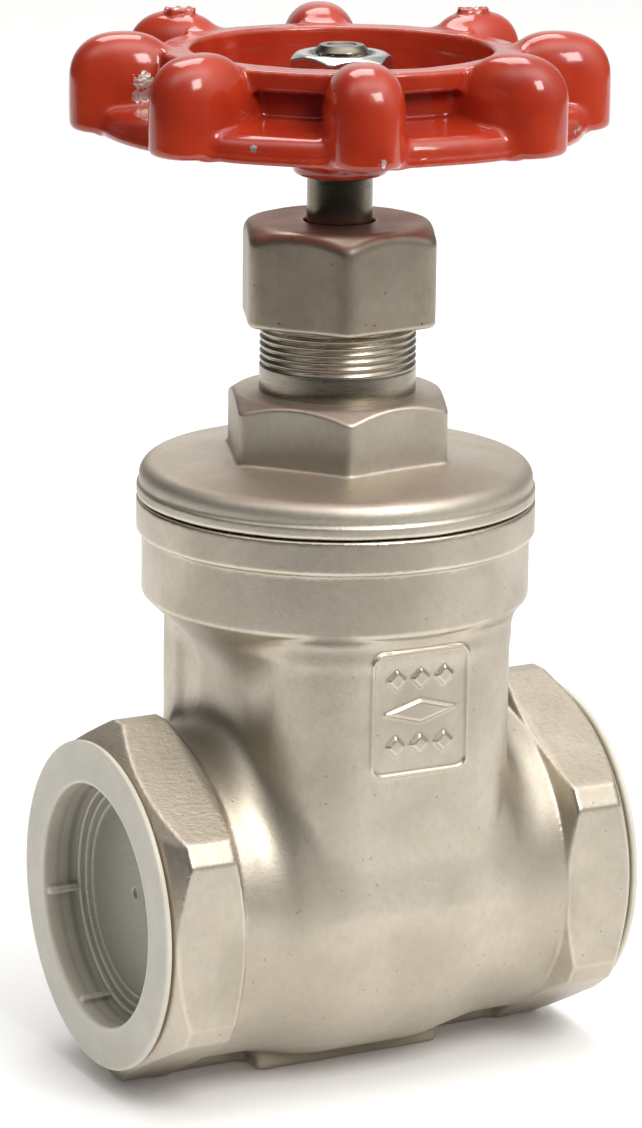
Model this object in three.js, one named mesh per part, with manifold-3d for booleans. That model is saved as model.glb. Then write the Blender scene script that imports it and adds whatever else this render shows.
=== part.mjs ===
// Threaded gate valve, 1 1/2 inch, with a non-rising stem and a solid wedge.
// Millimetres, +Z up. X runs along the pipe, Z is the stem axis, and the valve stands on Z = 0.
// Every height below is measured from the pipe axis, and the whole valve is lifted by PIPE_HEIGHT.

import * as THREE from 'three';
import { mergeVertices } from 'three/addons/utils/BufferGeometryUtils.js';
import Module from 'manifold-3d';

const wasm = await Module();
wasm.setup();

// ---------------------------------------------------------------- driving dimensions

const GAP = 0.3;               // clearance kept between neighbouring pieces
const ROUND = 36;              // segments round a large turned surface
const SMALL_ROUND = 24;        // segments round the stem and its fittings

// pipe ends
const END_ACROSS_FLATS = 58;
const END_ACROSS_CORNERS = 65; // the corners are cut flat, and the valve stands on the lowest ones
const PIPE_HEIGHT = END_ACROSS_CORNERS / 2;
const END_FACE = 44.7;         // half the length of the metal body
const END_INNER = 33.3;        // where the hexagon starts
const END_CHAMFER = 2.3;
const END_BEVEL_RADIUS = 28.4; // radius that the outer chamfer leaves on the end face
const THREAD_RADIUS = 22.7;    // G 1 1/2 female thread, mean radius
const THREAD_BOTTOM = 27;
const THREAD_CHAMFER = 1.2;
const PORT_RADIUS = 17.5;

// cast body
const WAIST_RADIUS = 26.4;
const BULGE_RADIUS = 31.2;
const NECK_HALF_X = 22.5;
const NECK_HALF_Y = 31;
const NECK_CORNER = 14;
const NECK_TOP = 51;
const CHAMBER_HALF_X = 16;
const CHAMBER_HALF_Y = 25;
const CHAMBER_CORNER = 10;
const DRUM_RADIUS = 33.6;
const DRUM_BOTTOM = 52;
const COLLAR_RADIUS = 34.5;
const COLLAR_BOTTOM = 62.3;
const BODY_TOP = 68.3;
const SPIGOT_RADIUS = 28.5;    // bonnet spigot screwed into the drum
const SPIGOT_BOTTOM = 58;
const GASKET_RADIUS = 32.4;
const GASKET_HEIGHT = 0.7;
const PAD_HALF_X = 18;
const PAD_HALF_Y = 7.8;
const KEEL_HALF_X = 36;
const KEEL_HALF_Y = 1.7;
const PAD_ROOT = -20;          // pad, keel and panel start inside the barrel or the neck
const PANEL_WIDTH = 18;
const PANEL_HEIGHT = 21.5;
const PANEL_MIDDLE = 37.5;
const PANEL_PROUD = 0.45;
const PANEL_ROOT = 6;
const PANEL_CORNER = 2;

// wedge, seats and travel
const WEDGE_RADIUS = 20.8;
const WEDGE_HALF = 8.5;        // half thickness on the pipe axis
const WEDGE_ANGLE = 5;         // degrees that each face leans
const WEDGE_BOSS_RADIUS = 8;
const WEDGE_BOSS_TOP = 33;
const WEDGE_HOLE_BOTTOM = -18.3;
const GUIDE_DEPTH = 2;
const GUIDE_HALF_WIDTH = 1.9;

// stem
const STEM_RADIUS = 5.63;
const STEM_BOTTOM = 21;
const STEM_THREAD_RADIUS = 5;
const STEM_COLLAR_RADIUS = 8.6;
const STEM_COLLAR_BOTTOM = 77;
const STEM_COLLAR_TOP = 80;
const STEM_SQUARE = 10;
const STEM_SQUARE_BOTTOM = 123.9;
const STEM_SQUARE_TOP = 133.4;
const STEM_TIP_RADIUS = 4.8;
const STEM_TOP = 146.3;

// bonnet, packing and gland
const BONNET_BOTTOM = 68.6;
const BONNET_LIP_TOP = 70.7;
const BONNET_RIM_RADIUS = 34.1;
const BONNET_BORE_RADIUS = 23; // hollow under the cover, which takes the top of the open wedge
const BONNET_BORE_TOP = 68;
const BONNET_CROWN = 76.2;
const BONNET_HEX_BOTTOM = 75;
const BONNET_HEX_TOP = 87;
const BONNET_ACROSS_FLATS = 36;
const BONNET_HEX_TURN = -21.5; // degrees that a corner is turned away from -Y
const BONNET_NECK_RADIUS = 13.5;
const BONNET_NECK_TOP = 105;
const STUFFING_RADIUS = 9.4;
const BUSH_BOTTOM = 72.2;
const BUSH_TOP = 75.6;
const THRUST_WASHER_HEIGHT = 0.8;
const COLLAR_SHOULDER = 81.4;  // bonnet face that takes the thrust of the stem collar
const STUFFING_BOTTOM = 84.8;
const STEM_CLEARANCE = STEM_RADIUS + GAP;
const PACKING_RING_COUNT = 4;
const PACKING_RING_HEIGHT = 3.1;
const PACKING_WASHER_HEIGHT = 1;
const FOLLOWER_FLANGE_RADIUS = 12.9;
const FOLLOWER_FLANGE_BOTTOM = 107.2;
const FOLLOWER_TOP = 111.3;
const GLAND_ACROSS_FLATS = 32;
const GLAND_NUT_TURN = -23;
const GLAND_BOTTOM = 99.2;
const GLAND_CEILING = 111.6;
const GLAND_TOP = 116.4;

// handwheel and its fastening
const LOBE_COUNT = 8;
const LOBE_PHASE = -67.1;      // degrees from +X to the first lobe
const WHEEL_RADIUS = 46;
const WHEEL_BOTTOM = 132;
const WHEEL_TOP = 148.5;
const LOBE_HALF_WIDTH = 6.45;
const LOBE_DOME_RADIUS = 9.2;
const RIM_INNER = 25.6;
const RIM_WEB = 28.2;
const RIM_LIP = 30.8;
const RIM_TOP = 145.8;
const RIM_LIP_BOTTOM = 142;
const FLANGE_TOP = 137.4;
const FLANGE_RADIUS = 41.2;
const SPOKE_COUNT = 4;
const SPOKE_PHASE = 22.9;
const SPOKE_HALF_WIDTH = 4.5;
const SPOKE_ROOT = 6;          // radius where a spoke starts inside the hub
const SPOKE_HEIGHT = 5.4;      // at the rim
const SPOKE_HUB_HEIGHT = 6;    // at the hub
const SPOKE_RIM_BOTTOM = 132.6;
const HUB_RADIUS = 8.1;
const HUB_SHOULDER_RADIUS = 10.5;
const HUB_BOTTOM = 124.2;
const HUB_TOP = 134;
const NUT_BORE_CLEARANCE = 0.35;
const WASHER_RADIUS = 10;
const WASHER_HEIGHT = 2;
const NUT_ACROSS_FLATS = 16;
const NUT_TURN = 19.3;
const NUT_BOTTOM = 136.6;
const NUT_TOP = 145;

// plastic dust caps
const CAP_FLANGE_RADIUS = 28.7;
const CAP_FACE = 46.1;
const CAP_PLUG_RADIUS = 22.3;
const CAP_WALL = 1.1;
const CAP_DEPTH = 8;

// ---------------------------------------------------------------- shape helpers

const radians = THREE.MathUtils.degToRad;

/** Turns a closed three.js geometry into a solid that can be cut and joined. */
function solid(geometry) {
  geometry.deleteAttribute('normal');
  geometry.deleteAttribute('uv');
  const merged = mergeVertices(geometry, 1e-4);
  const index = merged.index.array;
  const place = new THREE.Vector3();
  const corners = [];
  let volume = 0;
  for (let i = 0; i < index.length; i += 3) {
    const [a, b, c] = index.subarray(i, i + 3);
    if (a === b || b === c || c === a) continue;
    corners.push(a, b, c);
    const point = (n) => new THREE.Vector3().fromBufferAttribute(merged.attributes.position, n);
    volume += point(a).dot(place.crossVectors(point(b), point(c)));
  }
  // an outline may be drawn either way round, so an inside-out solid is turned over here
  if (volume < 0) corners.reverse();
  return new wasm.Manifold(new wasm.Mesh({
    numProp: 3,
    vertProperties: new Float32Array(merged.attributes.position.array),
    triVerts: new Uint32Array(corners),
  }));
}

/** Gives a finished solid a name and a material. */
function piece(name, shape, look) {
  const mesh = shape.getMesh();
  const geometry = new THREE.BufferGeometry();
  geometry.setAttribute('position', new THREE.BufferAttribute(mesh.vertProperties, 3));
  geometry.setIndex(new THREE.BufferAttribute(mesh.triVerts, 1));
  geometry.computeVertexNormals();
  const node = new THREE.Mesh(geometry, new THREE.MeshStandardMaterial(look));
  node.name = name;
  return node;
}

/** Solid of revolution about Z from an outline of [radius, height] points. */
function turned(outline, segments = ROUND) {
  const points = outline.map(([radius, height]) => new THREE.Vector2(radius, height));
  return solid(new THREE.LatheGeometry(points, segments).rotateX(Math.PI / 2));
}

/** Solid of revolution about the pipe axis from an outline of [radius, x] points. */
function turnedOnPipe(outline, segments = ROUND) {
  const points = outline.map(([radius, x]) => new THREE.Vector2(radius, x));
  return solid(new THREE.LatheGeometry(points, segments).rotateZ(-Math.PI / 2));
}

/** Plain ring or disc about Z. */
function disc(outer, bottom, top, inner = 0, segments = SMALL_ROUND) {
  const outline = [[inner, bottom], [outer, bottom], [outer, top], [inner, top]];
  if (inner > 0) outline.push([inner, bottom]);
  return turned(outline, segments);
}

/** Upright prism of a shape drawn in the XY plane. */
function prism(shape, bottom, top, curveSegments = 5) {
  const geometry = new THREE.ExtrudeGeometry(shape, {
    depth: top - bottom, bevelEnabled: false, curveSegments,
  });
  return solid(geometry.translate(0, 0, bottom));
}

/** Box from its lowest to its highest corner. */
function block([x0, y0, z0], [x1, y1, z1]) {
  const geometry = new THREE.BoxGeometry(x1 - x0, y1 - y0, z1 - z0);
  return solid(geometry.translate((x0 + x1) / 2, (y0 + y1) / 2, (z0 + z1) / 2));
}

/** Outline through [x, y] points. */
function outlineShape(points) {
  return new THREE.Shape(points.map(([x, y]) => new THREE.Vector2(x, y)));
}

/** Hexagon with its corners cut flat. One corner points along +Y. */
function hexagon(acrossFlats, acrossCorners) {
  const sharpCorner = acrossFlats / Math.sqrt(3);
  const cutHalf = (sharpCorner - acrossCorners / 2) * Math.tan(radians(60));
  const points = [];
  for (let corner = 0; corner < 6; corner += 1) {
    const angle = radians(90 + 60 * corner);
    const out = new THREE.Vector2(Math.cos(angle), Math.sin(angle));
    for (const side of [-1, 1]) {
      points.push(new THREE.Vector2(
        (acrossCorners / 2) * out.x - side * cutHalf * out.y,
        (acrossCorners / 2) * out.y + side * cutHalf * out.x,
      ));
    }
  }
  return new THREE.Shape(points);
}

/** Rectangle with rounded corners, centred on the origin. */
function roundedRectangle(halfX, halfY, corner) {
  const shape = new THREE.Shape();
  shape.moveTo(halfX, -halfY + corner);
  shape.lineTo(halfX, halfY - corner);
  shape.absarc(halfX - corner, halfY - corner, corner, 0, Math.PI / 2);
  shape.absarc(-halfX + corner, halfY - corner, corner, Math.PI / 2, Math.PI);
  shape.absarc(-halfX + corner, -halfY + corner, corner, Math.PI, 1.5 * Math.PI);
  shape.absarc(halfX - corner, -halfY + corner, corner, 1.5 * Math.PI, 2 * Math.PI);
  return shape;
}

/** Copies of a solid about Z, joined together. */
function spunRound(shape, count, phase) {
  let all = shape.rotate([0, 0, phase]);
  for (let turn = 1; turn < count; turn += 1) {
    all = all.add(shape.rotate([0, 0, phase + (360 * turn) / count]));
  }
  return all;
}

/** Upright hexagon blank with bevelled top corners. One corner faces -Y, turned by some degrees. */
function nutBlank(acrossFlats, bottom, top, bevel, turn) {
  const corner = acrossFlats / Math.sqrt(3);
  const rounded = turned([
    [0, bottom], [corner - 0.5, bottom], [corner - 0.2, bottom + 0.6],
    [corner - 0.2, top - bevel], [acrossFlats / 2 - 0.6, top], [0, top],
  ]);
  return prism(hexagon(acrossFlats, 2 * corner - 0.6), bottom, top).rotate([0, 0, turn]).intersect(rounded);
}

// ---------------------------------------------------------------- body

const wedgeSlope = Math.tan(radians(WEDGE_ANGLE));

/** Wedge-shaped block, leaning faces along X, grown by a clearance on each face. */
function wedgeBlock(halfY, bottom, top, clearance) {
  const reach = (height) => WEDGE_HALF + clearance + height * wedgeSlope;
  const outline = outlineShape([
    [-reach(bottom), bottom], [reach(bottom), bottom], [reach(top), top], [-reach(top), top],
  ]);
  const geometry = new THREE.ExtrudeGeometry(outline, { depth: 2 * halfY, bevelEnabled: false });
  return solid(geometry.translate(0, 0, -halfY).rotateX(Math.PI / 2));
}

/** Hexagon on one pipe end, chamfered on its outer face. */
function pipeEnd(side) {
  const corner = END_ACROSS_CORNERS / 2 + 0.3;
  const chamfered = turnedOnPipe([
    [0, side * (END_INNER - 4)],
    [END_ACROSS_FLATS / 2, side * (END_INNER - 0.8)],
    [corner, side * END_INNER],
    [corner, side * (END_FACE - END_CHAMFER)],
    [END_BEVEL_RADIUS, side * END_FACE],
    [0, side * END_FACE],
  ]);
  const blank = prism(hexagon(END_ACROSS_FLATS, END_ACROSS_CORNERS), -END_FACE, END_FACE);
  // the prism's corner along +Y goes to +Z, and its length goes to X
  return blank.rotate([90, 0, 90]).intersect(chamfered);
}

function makeBody() {
  const waist = new THREE.SplineCurve([
    [END_INNER, END_ACROSS_FLATS / 2 - 0.2], [26, WAIST_RADIUS], [20, WAIST_RADIUS + 0.9],
    [12, BULGE_RADIUS - 0.4], [6, BULGE_RADIUS],
  ].map(([x, radius]) => new THREE.Vector2(radius, x))).getPoints(8);
  const half = waist.map((point) => [point.x, point.y]);
  const mirrored = half.map(([radius, x]) => [radius, -x]).reverse();
  const barrel = turnedOnPipe([[0, END_INNER], ...half, ...mirrored, [0, -END_INNER]]);
  const neck = prism(roundedRectangle(NECK_HALF_X, NECK_HALF_Y, NECK_CORNER), 0, NECK_TOP + 1);
  const drum = turned([
    [0, NECK_TOP - 6], [29.5, NECK_TOP - 6], [DRUM_RADIUS - 0.8, NECK_TOP], [DRUM_RADIUS, DRUM_BOTTOM],
    [DRUM_RADIUS, COLLAR_BOTTOM], [COLLAR_RADIUS, COLLAR_BOTTOM + 0.3],
    [COLLAR_RADIUS, BODY_TOP - 0.3], [COLLAR_RADIUS - 0.3, BODY_TOP], [0, BODY_TOP],
  ]);
  const pad = block([-PAD_HALF_X, -PAD_HALF_Y, -PIPE_HEIGHT], [PAD_HALF_X, PAD_HALF_Y, PAD_ROOT]);
  const keel = block([-KEEL_HALF_X, -KEEL_HALF_Y, -PIPE_HEIGHT], [KEEL_HALF_X, KEEL_HALF_Y, PAD_ROOT]);
  const panel = prism(roundedRectangle(PANEL_WIDTH / 2, PANEL_HEIGHT / 2, PANEL_CORNER), 0, PANEL_ROOT)
    .rotate([90, 0, 0]).translate([0, -NECK_HALF_Y + PANEL_ROOT - PANEL_PROUD, PANEL_MIDDLE]);

  let body = barrel.add(neck).add(drum).add(pad).add(keel).add(panel);
  body = body.add(pipeEnd(-1)).add(pipeEnd(1));

  const shaft = prism(roundedRectangle(CHAMBER_HALF_X, CHAMBER_HALF_Y, CHAMBER_CORNER), 0, BODY_TOP);
  const sump = turnedOnPipe([
    [0, -CHAMBER_HALF_X], [CHAMBER_HALF_Y - 3, -CHAMBER_HALF_X], [CHAMBER_HALF_Y, -CHAMBER_HALF_X + 3],
    [CHAMBER_HALF_Y, CHAMBER_HALF_X - 3], [CHAMBER_HALF_Y - 3, CHAMBER_HALF_X], [0, CHAMBER_HALF_X],
  ]);
  const bonnetSocket = disc(SPIGOT_RADIUS + GAP, SPIGOT_BOTTOM - GAP, BODY_TOP + 1, 0, ROUND);
  const gasketSeat = disc(GASKET_RADIUS + GAP, BODY_TOP - GASKET_HEIGHT - GAP, BODY_TOP + 1, 0, ROUND);
  body = body.subtract(shaft.add(sump)).subtract(bonnetSocket).subtract(gasketSeat);

  // seat rings stand out from the chamber walls, and their faces lean like the wedge
  const seats = turnedOnPipe([
    [0, -CHAMBER_HALF_X - 1], [WEDGE_RADIUS, -CHAMBER_HALF_X - 1],
    [WEDGE_RADIUS, CHAMBER_HALF_X + 1], [0, CHAMBER_HALF_X + 1],
  ]).subtract(wedgeBlock(CHAMBER_HALF_Y, -30, 30, GAP));
  const guideTop = DRUM_BOTTOM + 2;
  const guideStart = WEDGE_RADIUS - GUIDE_DEPTH + GAP;
  const guide = block([-GUIDE_HALF_WIDTH, guideStart, -10], [GUIDE_HALF_WIDTH, CHAMBER_HALF_Y + 1, guideTop]);
  body = body.add(seats).add(guide).add(guide.mirror([0, 1, 0]));

  const mouth = THREAD_RADIUS + THREAD_CHAMFER;
  const waterway = turnedOnPipe([
    [0, -END_FACE - 1], [mouth, -END_FACE - 1], [mouth, -END_FACE],
    [THREAD_RADIUS, -END_FACE + THREAD_CHAMFER], [THREAD_RADIUS, -THREAD_BOTTOM],
    [PORT_RADIUS, -THREAD_BOTTOM + 2], [PORT_RADIUS, THREAD_BOTTOM - 2], [THREAD_RADIUS, THREAD_BOTTOM],
    [THREAD_RADIUS, END_FACE - THREAD_CHAMFER], [mouth, END_FACE], [mouth, END_FACE + 1], [0, END_FACE + 1],
  ]);
  return body.subtract(waterway);
}

// ---------------------------------------------------------------- bonnet and gasket

function makeBonnet() {
  const cover = turned([
    [0, SPIGOT_BOTTOM], [SPIGOT_RADIUS, SPIGOT_BOTTOM], [SPIGOT_RADIUS, BONNET_BOTTOM],
    [COLLAR_RADIUS, BONNET_BOTTOM], [COLLAR_RADIUS, BONNET_LIP_TOP], [BONNET_RIM_RADIUS, BONNET_LIP_TOP],
    [BONNET_RIM_RADIUS, 72.4], [BONNET_RIM_RADIUS - 0.7, 73.6], [BONNET_RIM_RADIUS - 2.2, 74.3],
    [20, BONNET_CROWN - 0.3], [0, BONNET_CROWN],
  ]);
  const hexagonTop = nutBlank(
    BONNET_ACROSS_FLATS, BONNET_HEX_BOTTOM, BONNET_HEX_TOP, 2.2, BONNET_HEX_TURN,
  );
  const neck = turned([
    [0, BONNET_HEX_TOP - 2], [BONNET_NECK_RADIUS, BONNET_HEX_TOP - 2],
    [BONNET_NECK_RADIUS, BONNET_NECK_TOP - 0.8], [BONNET_NECK_RADIUS - 0.8, BONNET_NECK_TOP],
    [0, BONNET_NECK_TOP],
  ]);
  const bore = turned([
    [0, SPIGOT_BOTTOM - 1], [BONNET_BORE_RADIUS, SPIGOT_BOTTOM - 1],
    [BONNET_BORE_RADIUS, BONNET_BORE_TOP], [BONNET_BORE_RADIUS - 2, BONNET_BORE_TOP + 1.6],
    [STUFFING_RADIUS, BONNET_BORE_TOP + 2.4],
    [STUFFING_RADIUS, COLLAR_SHOULDER], [STEM_CLEARANCE, COLLAR_SHOULDER],
    [STEM_CLEARANCE, STUFFING_BOTTOM], [STUFFING_RADIUS, STUFFING_BOTTOM],
    [STUFFING_RADIUS, BONNET_NECK_TOP + 1], [0, BONNET_NECK_TOP + 1],
  ]);
  return cover.add(hexagonTop).add(neck).subtract(bore);
}

// ---------------------------------------------------------------- wedge and stem

function makeWedge() {
  const face = turnedOnPipe([[0, -15], [WEDGE_RADIUS, -15], [WEDGE_RADIUS, 15], [0, 15]]);
  const boss = disc(WEDGE_BOSS_RADIUS, 0, WEDGE_BOSS_TOP);
  const slotHalf = GUIDE_HALF_WIDTH + 0.4;
  const slotStart = WEDGE_RADIUS - GUIDE_DEPTH;
  const slot = block([-slotHalf, slotStart, -30], [slotHalf, slotStart + 10, 30]);
  const hole = turned([
    [0, WEDGE_HOLE_BOTTOM], [STEM_THREAD_RADIUS + 0.5, WEDGE_HOLE_BOTTOM],
    [STEM_THREAD_RADIUS + 0.5, STEM_BOTTOM - 2], [STEM_THREAD_RADIUS + GAP, STEM_BOTTOM - 1],
    [STEM_THREAD_RADIUS + GAP, WEDGE_BOSS_TOP + 1], [0, WEDGE_BOSS_TOP + 1],
  ], SMALL_ROUND);
  const wedge = face.intersect(wedgeBlock(30, -25, 25, 0)).add(boss);
  return wedge.subtract(slot).subtract(slot.mirror([0, 1, 0])).subtract(hole);
}

/** Square bar about Z with its corners turned round. */
function squareBar(acrossFlats, cornerRadius, bottom, top) {
  const half = acrossFlats / 2;
  return block([-half, -half, bottom], [half, half, top]).intersect(disc(cornerRadius, bottom, top));
}

function makeStem() {
  const shaft = turned([
    [0, STEM_BOTTOM], [STEM_THREAD_RADIUS - 0.8, STEM_BOTTOM], [STEM_THREAD_RADIUS, STEM_BOTTOM + 0.8],
    [STEM_THREAD_RADIUS, STEM_COLLAR_BOTTOM], [STEM_COLLAR_RADIUS, STEM_COLLAR_BOTTOM],
    [STEM_COLLAR_RADIUS, STEM_COLLAR_TOP], [STEM_RADIUS, STEM_COLLAR_TOP],
    [STEM_RADIUS, STEM_SQUARE_BOTTOM], [0, STEM_SQUARE_BOTTOM],
  ], SMALL_ROUND);
  const tip = turned([
    [0, STEM_SQUARE_TOP - 1], [STEM_TIP_RADIUS, STEM_SQUARE_TOP - 1], [STEM_TIP_RADIUS, STEM_TOP - 1],
    [STEM_TIP_RADIUS - 0.9, STEM_TOP], [0, STEM_TOP],
  ], SMALL_ROUND);
  const square = squareBar(STEM_SQUARE, STEM_RADIUS, STEM_SQUARE_BOTTOM - 1, STEM_SQUARE_TOP);
  return shaft.add(square).add(tip);
}

// ---------------------------------------------------------------- gland

function makeGlandFollower(bottom) {
  const sleeve = STUFFING_RADIUS - GAP;
  return turned([
    [STEM_CLEARANCE, bottom], [sleeve, bottom], [sleeve, FOLLOWER_FLANGE_BOTTOM],
    [FOLLOWER_FLANGE_RADIUS, FOLLOWER_FLANGE_BOTTOM], [FOLLOWER_FLANGE_RADIUS, FOLLOWER_TOP],
    [STEM_CLEARANCE, FOLLOWER_TOP], [STEM_CLEARANCE, bottom],
  ], SMALL_ROUND);
}

function makeGlandNut() {
  const bore = turned([
    [0, GLAND_BOTTOM - 1], [BONNET_NECK_RADIUS + GAP, GLAND_BOTTOM - 1],
    [BONNET_NECK_RADIUS + GAP, GLAND_CEILING], [STEM_RADIUS + 0.6, GLAND_CEILING],
    [STEM_RADIUS + 0.6, GLAND_TOP + 1], [0, GLAND_TOP + 1],
  ]);
  return nutBlank(GLAND_ACROSS_FLATS, GLAND_BOTTOM, GLAND_TOP, 2.4, GLAND_NUT_TURN).subtract(bore);
}

// ---------------------------------------------------------------- handwheel

/** One lobe of the rim, standing on +X. */
function lobe() {
  const inner = RIM_INNER + 2;
  const domeCentre = WHEEL_RADIUS - LOBE_DOME_RADIUS;
  const domeBase = WHEEL_TOP - LOBE_DOME_RADIUS;

  const plan = new THREE.Shape();
  plan.moveTo(inner, -LOBE_HALF_WIDTH);
  plan.lineTo(WHEEL_RADIUS - LOBE_HALF_WIDTH, -LOBE_HALF_WIDTH);
  plan.absarc(WHEEL_RADIUS - LOBE_HALF_WIDTH, 0, LOBE_HALF_WIDTH, -Math.PI / 2, Math.PI / 2);
  plan.lineTo(inner, LOBE_HALF_WIDTH);

  const side = new THREE.Shape();
  side.moveTo(inner, WHEEL_BOTTOM);
  side.lineTo(WHEEL_RADIUS, WHEEL_BOTTOM);
  side.absarc(domeCentre, domeBase, LOBE_DOME_RADIUS, 0, Math.PI);
  const width = 2 * LOBE_HALF_WIDTH + 2;
  const sideGeometry = new THREE.ExtrudeGeometry(side, { depth: width, bevelEnabled: false, curveSegments: 8 });

  const front = new THREE.Shape();
  front.moveTo(-LOBE_HALF_WIDTH, WHEEL_BOTTOM);
  front.lineTo(LOBE_HALF_WIDTH, WHEEL_BOTTOM);
  front.absarc(0, WHEEL_TOP - LOBE_HALF_WIDTH, LOBE_HALF_WIDTH, 0, Math.PI);
  const frontGeometry = new THREE.ExtrudeGeometry(front, { depth: 40, bevelEnabled: false, curveSegments: 6 });

  const planSolid = prism(plan, WHEEL_BOTTOM, WHEEL_TOP + 1, 6);
  const sideSolid = solid(sideGeometry.translate(0, 0, -width / 2).rotateX(Math.PI / 2));
  const frontSolid = solid(frontGeometry.rotateX(Math.PI / 2).rotateZ(Math.PI / 2).translate(15, 0, 0));
  return planSolid.intersect(sideSolid).intersect(frontSolid);
}

/** One spoke along +X, dished down towards the hub. */
function spoke() {
  const outline = outlineShape([
    [SPOKE_ROOT, HUB_TOP - 2 - SPOKE_HUB_HEIGHT], [RIM_INNER + 1, SPOKE_RIM_BOTTOM],
    [RIM_INNER + 1, SPOKE_RIM_BOTTOM + SPOKE_HEIGHT], [SPOKE_ROOT, HUB_TOP - 2],
  ]);
  const geometry = new THREE.ExtrudeGeometry(outline, { depth: 2 * SPOKE_HALF_WIDTH, bevelEnabled: false });
  return solid(geometry.translate(0, 0, -SPOKE_HALF_WIDTH).rotateX(Math.PI / 2));
}

function makeHandwheel() {
  const rim = turned([
    [RIM_INNER, WHEEL_BOTTOM], [FLANGE_RADIUS, WHEEL_BOTTOM], [FLANGE_RADIUS, 134.5],
    [FLANGE_RADIUS - 1.6, 136.6], [FLANGE_RADIUS - 4.5, FLANGE_TOP], [RIM_WEB, FLANGE_TOP],
    [RIM_WEB, RIM_LIP_BOTTOM], [RIM_LIP, RIM_LIP_BOTTOM], [RIM_LIP, RIM_TOP - 0.8],
    [RIM_LIP - 1, RIM_TOP], [RIM_INNER + 0.8, RIM_TOP], [RIM_INNER, RIM_TOP - 0.8], [RIM_INNER, WHEEL_BOTTOM],
  ], 48);
  const hub = turned([
    [0, HUB_BOTTOM], [HUB_RADIUS, HUB_BOTTOM], [HUB_RADIUS, 126.5], [HUB_SHOULDER_RADIUS, 128.5],
    [HUB_SHOULDER_RADIUS, HUB_TOP - 0.8], [HUB_SHOULDER_RADIUS - 0.8, HUB_TOP], [0, HUB_TOP],
  ], SMALL_ROUND);
  const squareHole = squareBar(STEM_SQUARE + 2 * GAP, STEM_RADIUS + 0.4, HUB_BOTTOM - 1, HUB_TOP + 1);
  return rim.add(spunRound(lobe(), LOBE_COUNT, LOBE_PHASE))
    .add(spunRound(spoke(), SPOKE_COUNT, SPOKE_PHASE)).add(hub).subtract(squareHole);
}

function makeHandwheelNut() {
  return nutBlank(NUT_ACROSS_FLATS, NUT_BOTTOM, NUT_TOP, 1.4, NUT_TURN)
    .subtract(disc(STEM_TIP_RADIUS + NUT_BORE_CLEARANCE, NUT_BOTTOM - 1, NUT_TOP + 1));
}

// ---------------------------------------------------------------- dust caps

function makePortCap(side) {
  const flangeBack = END_FACE + GAP;
  const plugEnd = CAP_FACE - CAP_DEPTH - CAP_WALL;
  const outline = [
    [0, plugEnd], [CAP_PLUG_RADIUS - 1, plugEnd], [CAP_PLUG_RADIUS, plugEnd + 1],
    [CAP_PLUG_RADIUS, flangeBack], [CAP_FLANGE_RADIUS, flangeBack], [CAP_FLANGE_RADIUS, CAP_FACE],
    [CAP_PLUG_RADIUS - CAP_WALL, CAP_FACE], [CAP_PLUG_RADIUS - CAP_WALL, CAP_FACE - CAP_DEPTH],
    [0, CAP_FACE - CAP_DEPTH],
  ];
  return turnedOnPipe(outline.map(([radius, x]) => [radius, side * x]));
}

// ---------------------------------------------------------------- looks and assembly

const CAST_STEEL = { color: 0xc2b8a2, roughness: 0.42, metalness: 0.9 };
const TURNED_STEEL = { color: 0xb9b2a2, roughness: 0.25, metalness: 1 };
const GLAND_STEEL = { color: 0x8f8574, roughness: 0.38, metalness: 0.95 };
const BRIGHT_STEEL = { color: 0xc9c8c0, roughness: 0.18, metalness: 1 };
const RED_PAINT = { color: 0xb4301c, roughness: 0.22, metalness: 0 };
const WHITE_PLASTIC = { color: 0xe9e8e2, roughness: 0.5, metalness: 0 };
const WHITE_PTFE = { color: 0xe4e1d8, roughness: 0.6, metalness: 0 };

const packingRingsBottom = STUFFING_BOTTOM + PACKING_WASHER_HEIGHT + 2 * GAP;
const packingPitch = PACKING_RING_HEIGHT + GAP;
const packingTop = packingRingsBottom + PACKING_RING_COUNT * packingPitch;
const packingOuter = STUFFING_RADIUS - GAP;
const threadClearance = STEM_THREAD_RADIUS + GAP;

const valve = new THREE.Group();
valve.position.z = PIPE_HEIGHT;
valve.add(
  piece('body', makeBody(), CAST_STEEL),
  piece('bonnet', makeBonnet(), CAST_STEEL),
  piece('bonnet_gasket', disc(
    GASKET_RADIUS, BODY_TOP - GASKET_HEIGHT, BODY_TOP, SPIGOT_RADIUS + GAP, ROUND,
  ), WHITE_PTFE),
  piece('wedge', makeWedge(), TURNED_STEEL),
  piece('stem', makeStem(), BRIGHT_STEEL),
  piece('stem_retaining_bush', disc(packingOuter, BUSH_BOTTOM, BUSH_TOP, threadClearance), TURNED_STEEL),
  piece('thrust_washer_lower', disc(
    packingOuter, BUSH_TOP + GAP, BUSH_TOP + GAP + THRUST_WASHER_HEIGHT, threadClearance,
  ), WHITE_PTFE),
  piece('thrust_washer_upper', disc(
    packingOuter, STEM_COLLAR_TOP + GAP, STEM_COLLAR_TOP + GAP + THRUST_WASHER_HEIGHT, STEM_CLEARANCE,
  ), WHITE_PTFE),
  piece('packing_washer', disc(
    packingOuter, STUFFING_BOTTOM + GAP, STUFFING_BOTTOM + GAP + PACKING_WASHER_HEIGHT, STEM_CLEARANCE,
  ), TURNED_STEEL),
);
for (let ring = 0; ring < PACKING_RING_COUNT; ring += 1) {
  const bottom = packingRingsBottom + ring * packingPitch;
  const shape = disc(packingOuter, bottom, bottom + PACKING_RING_HEIGHT, STEM_CLEARANCE);
  valve.add(piece(`packing_ring_${ring + 1}`, shape, WHITE_PTFE));
}
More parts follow.
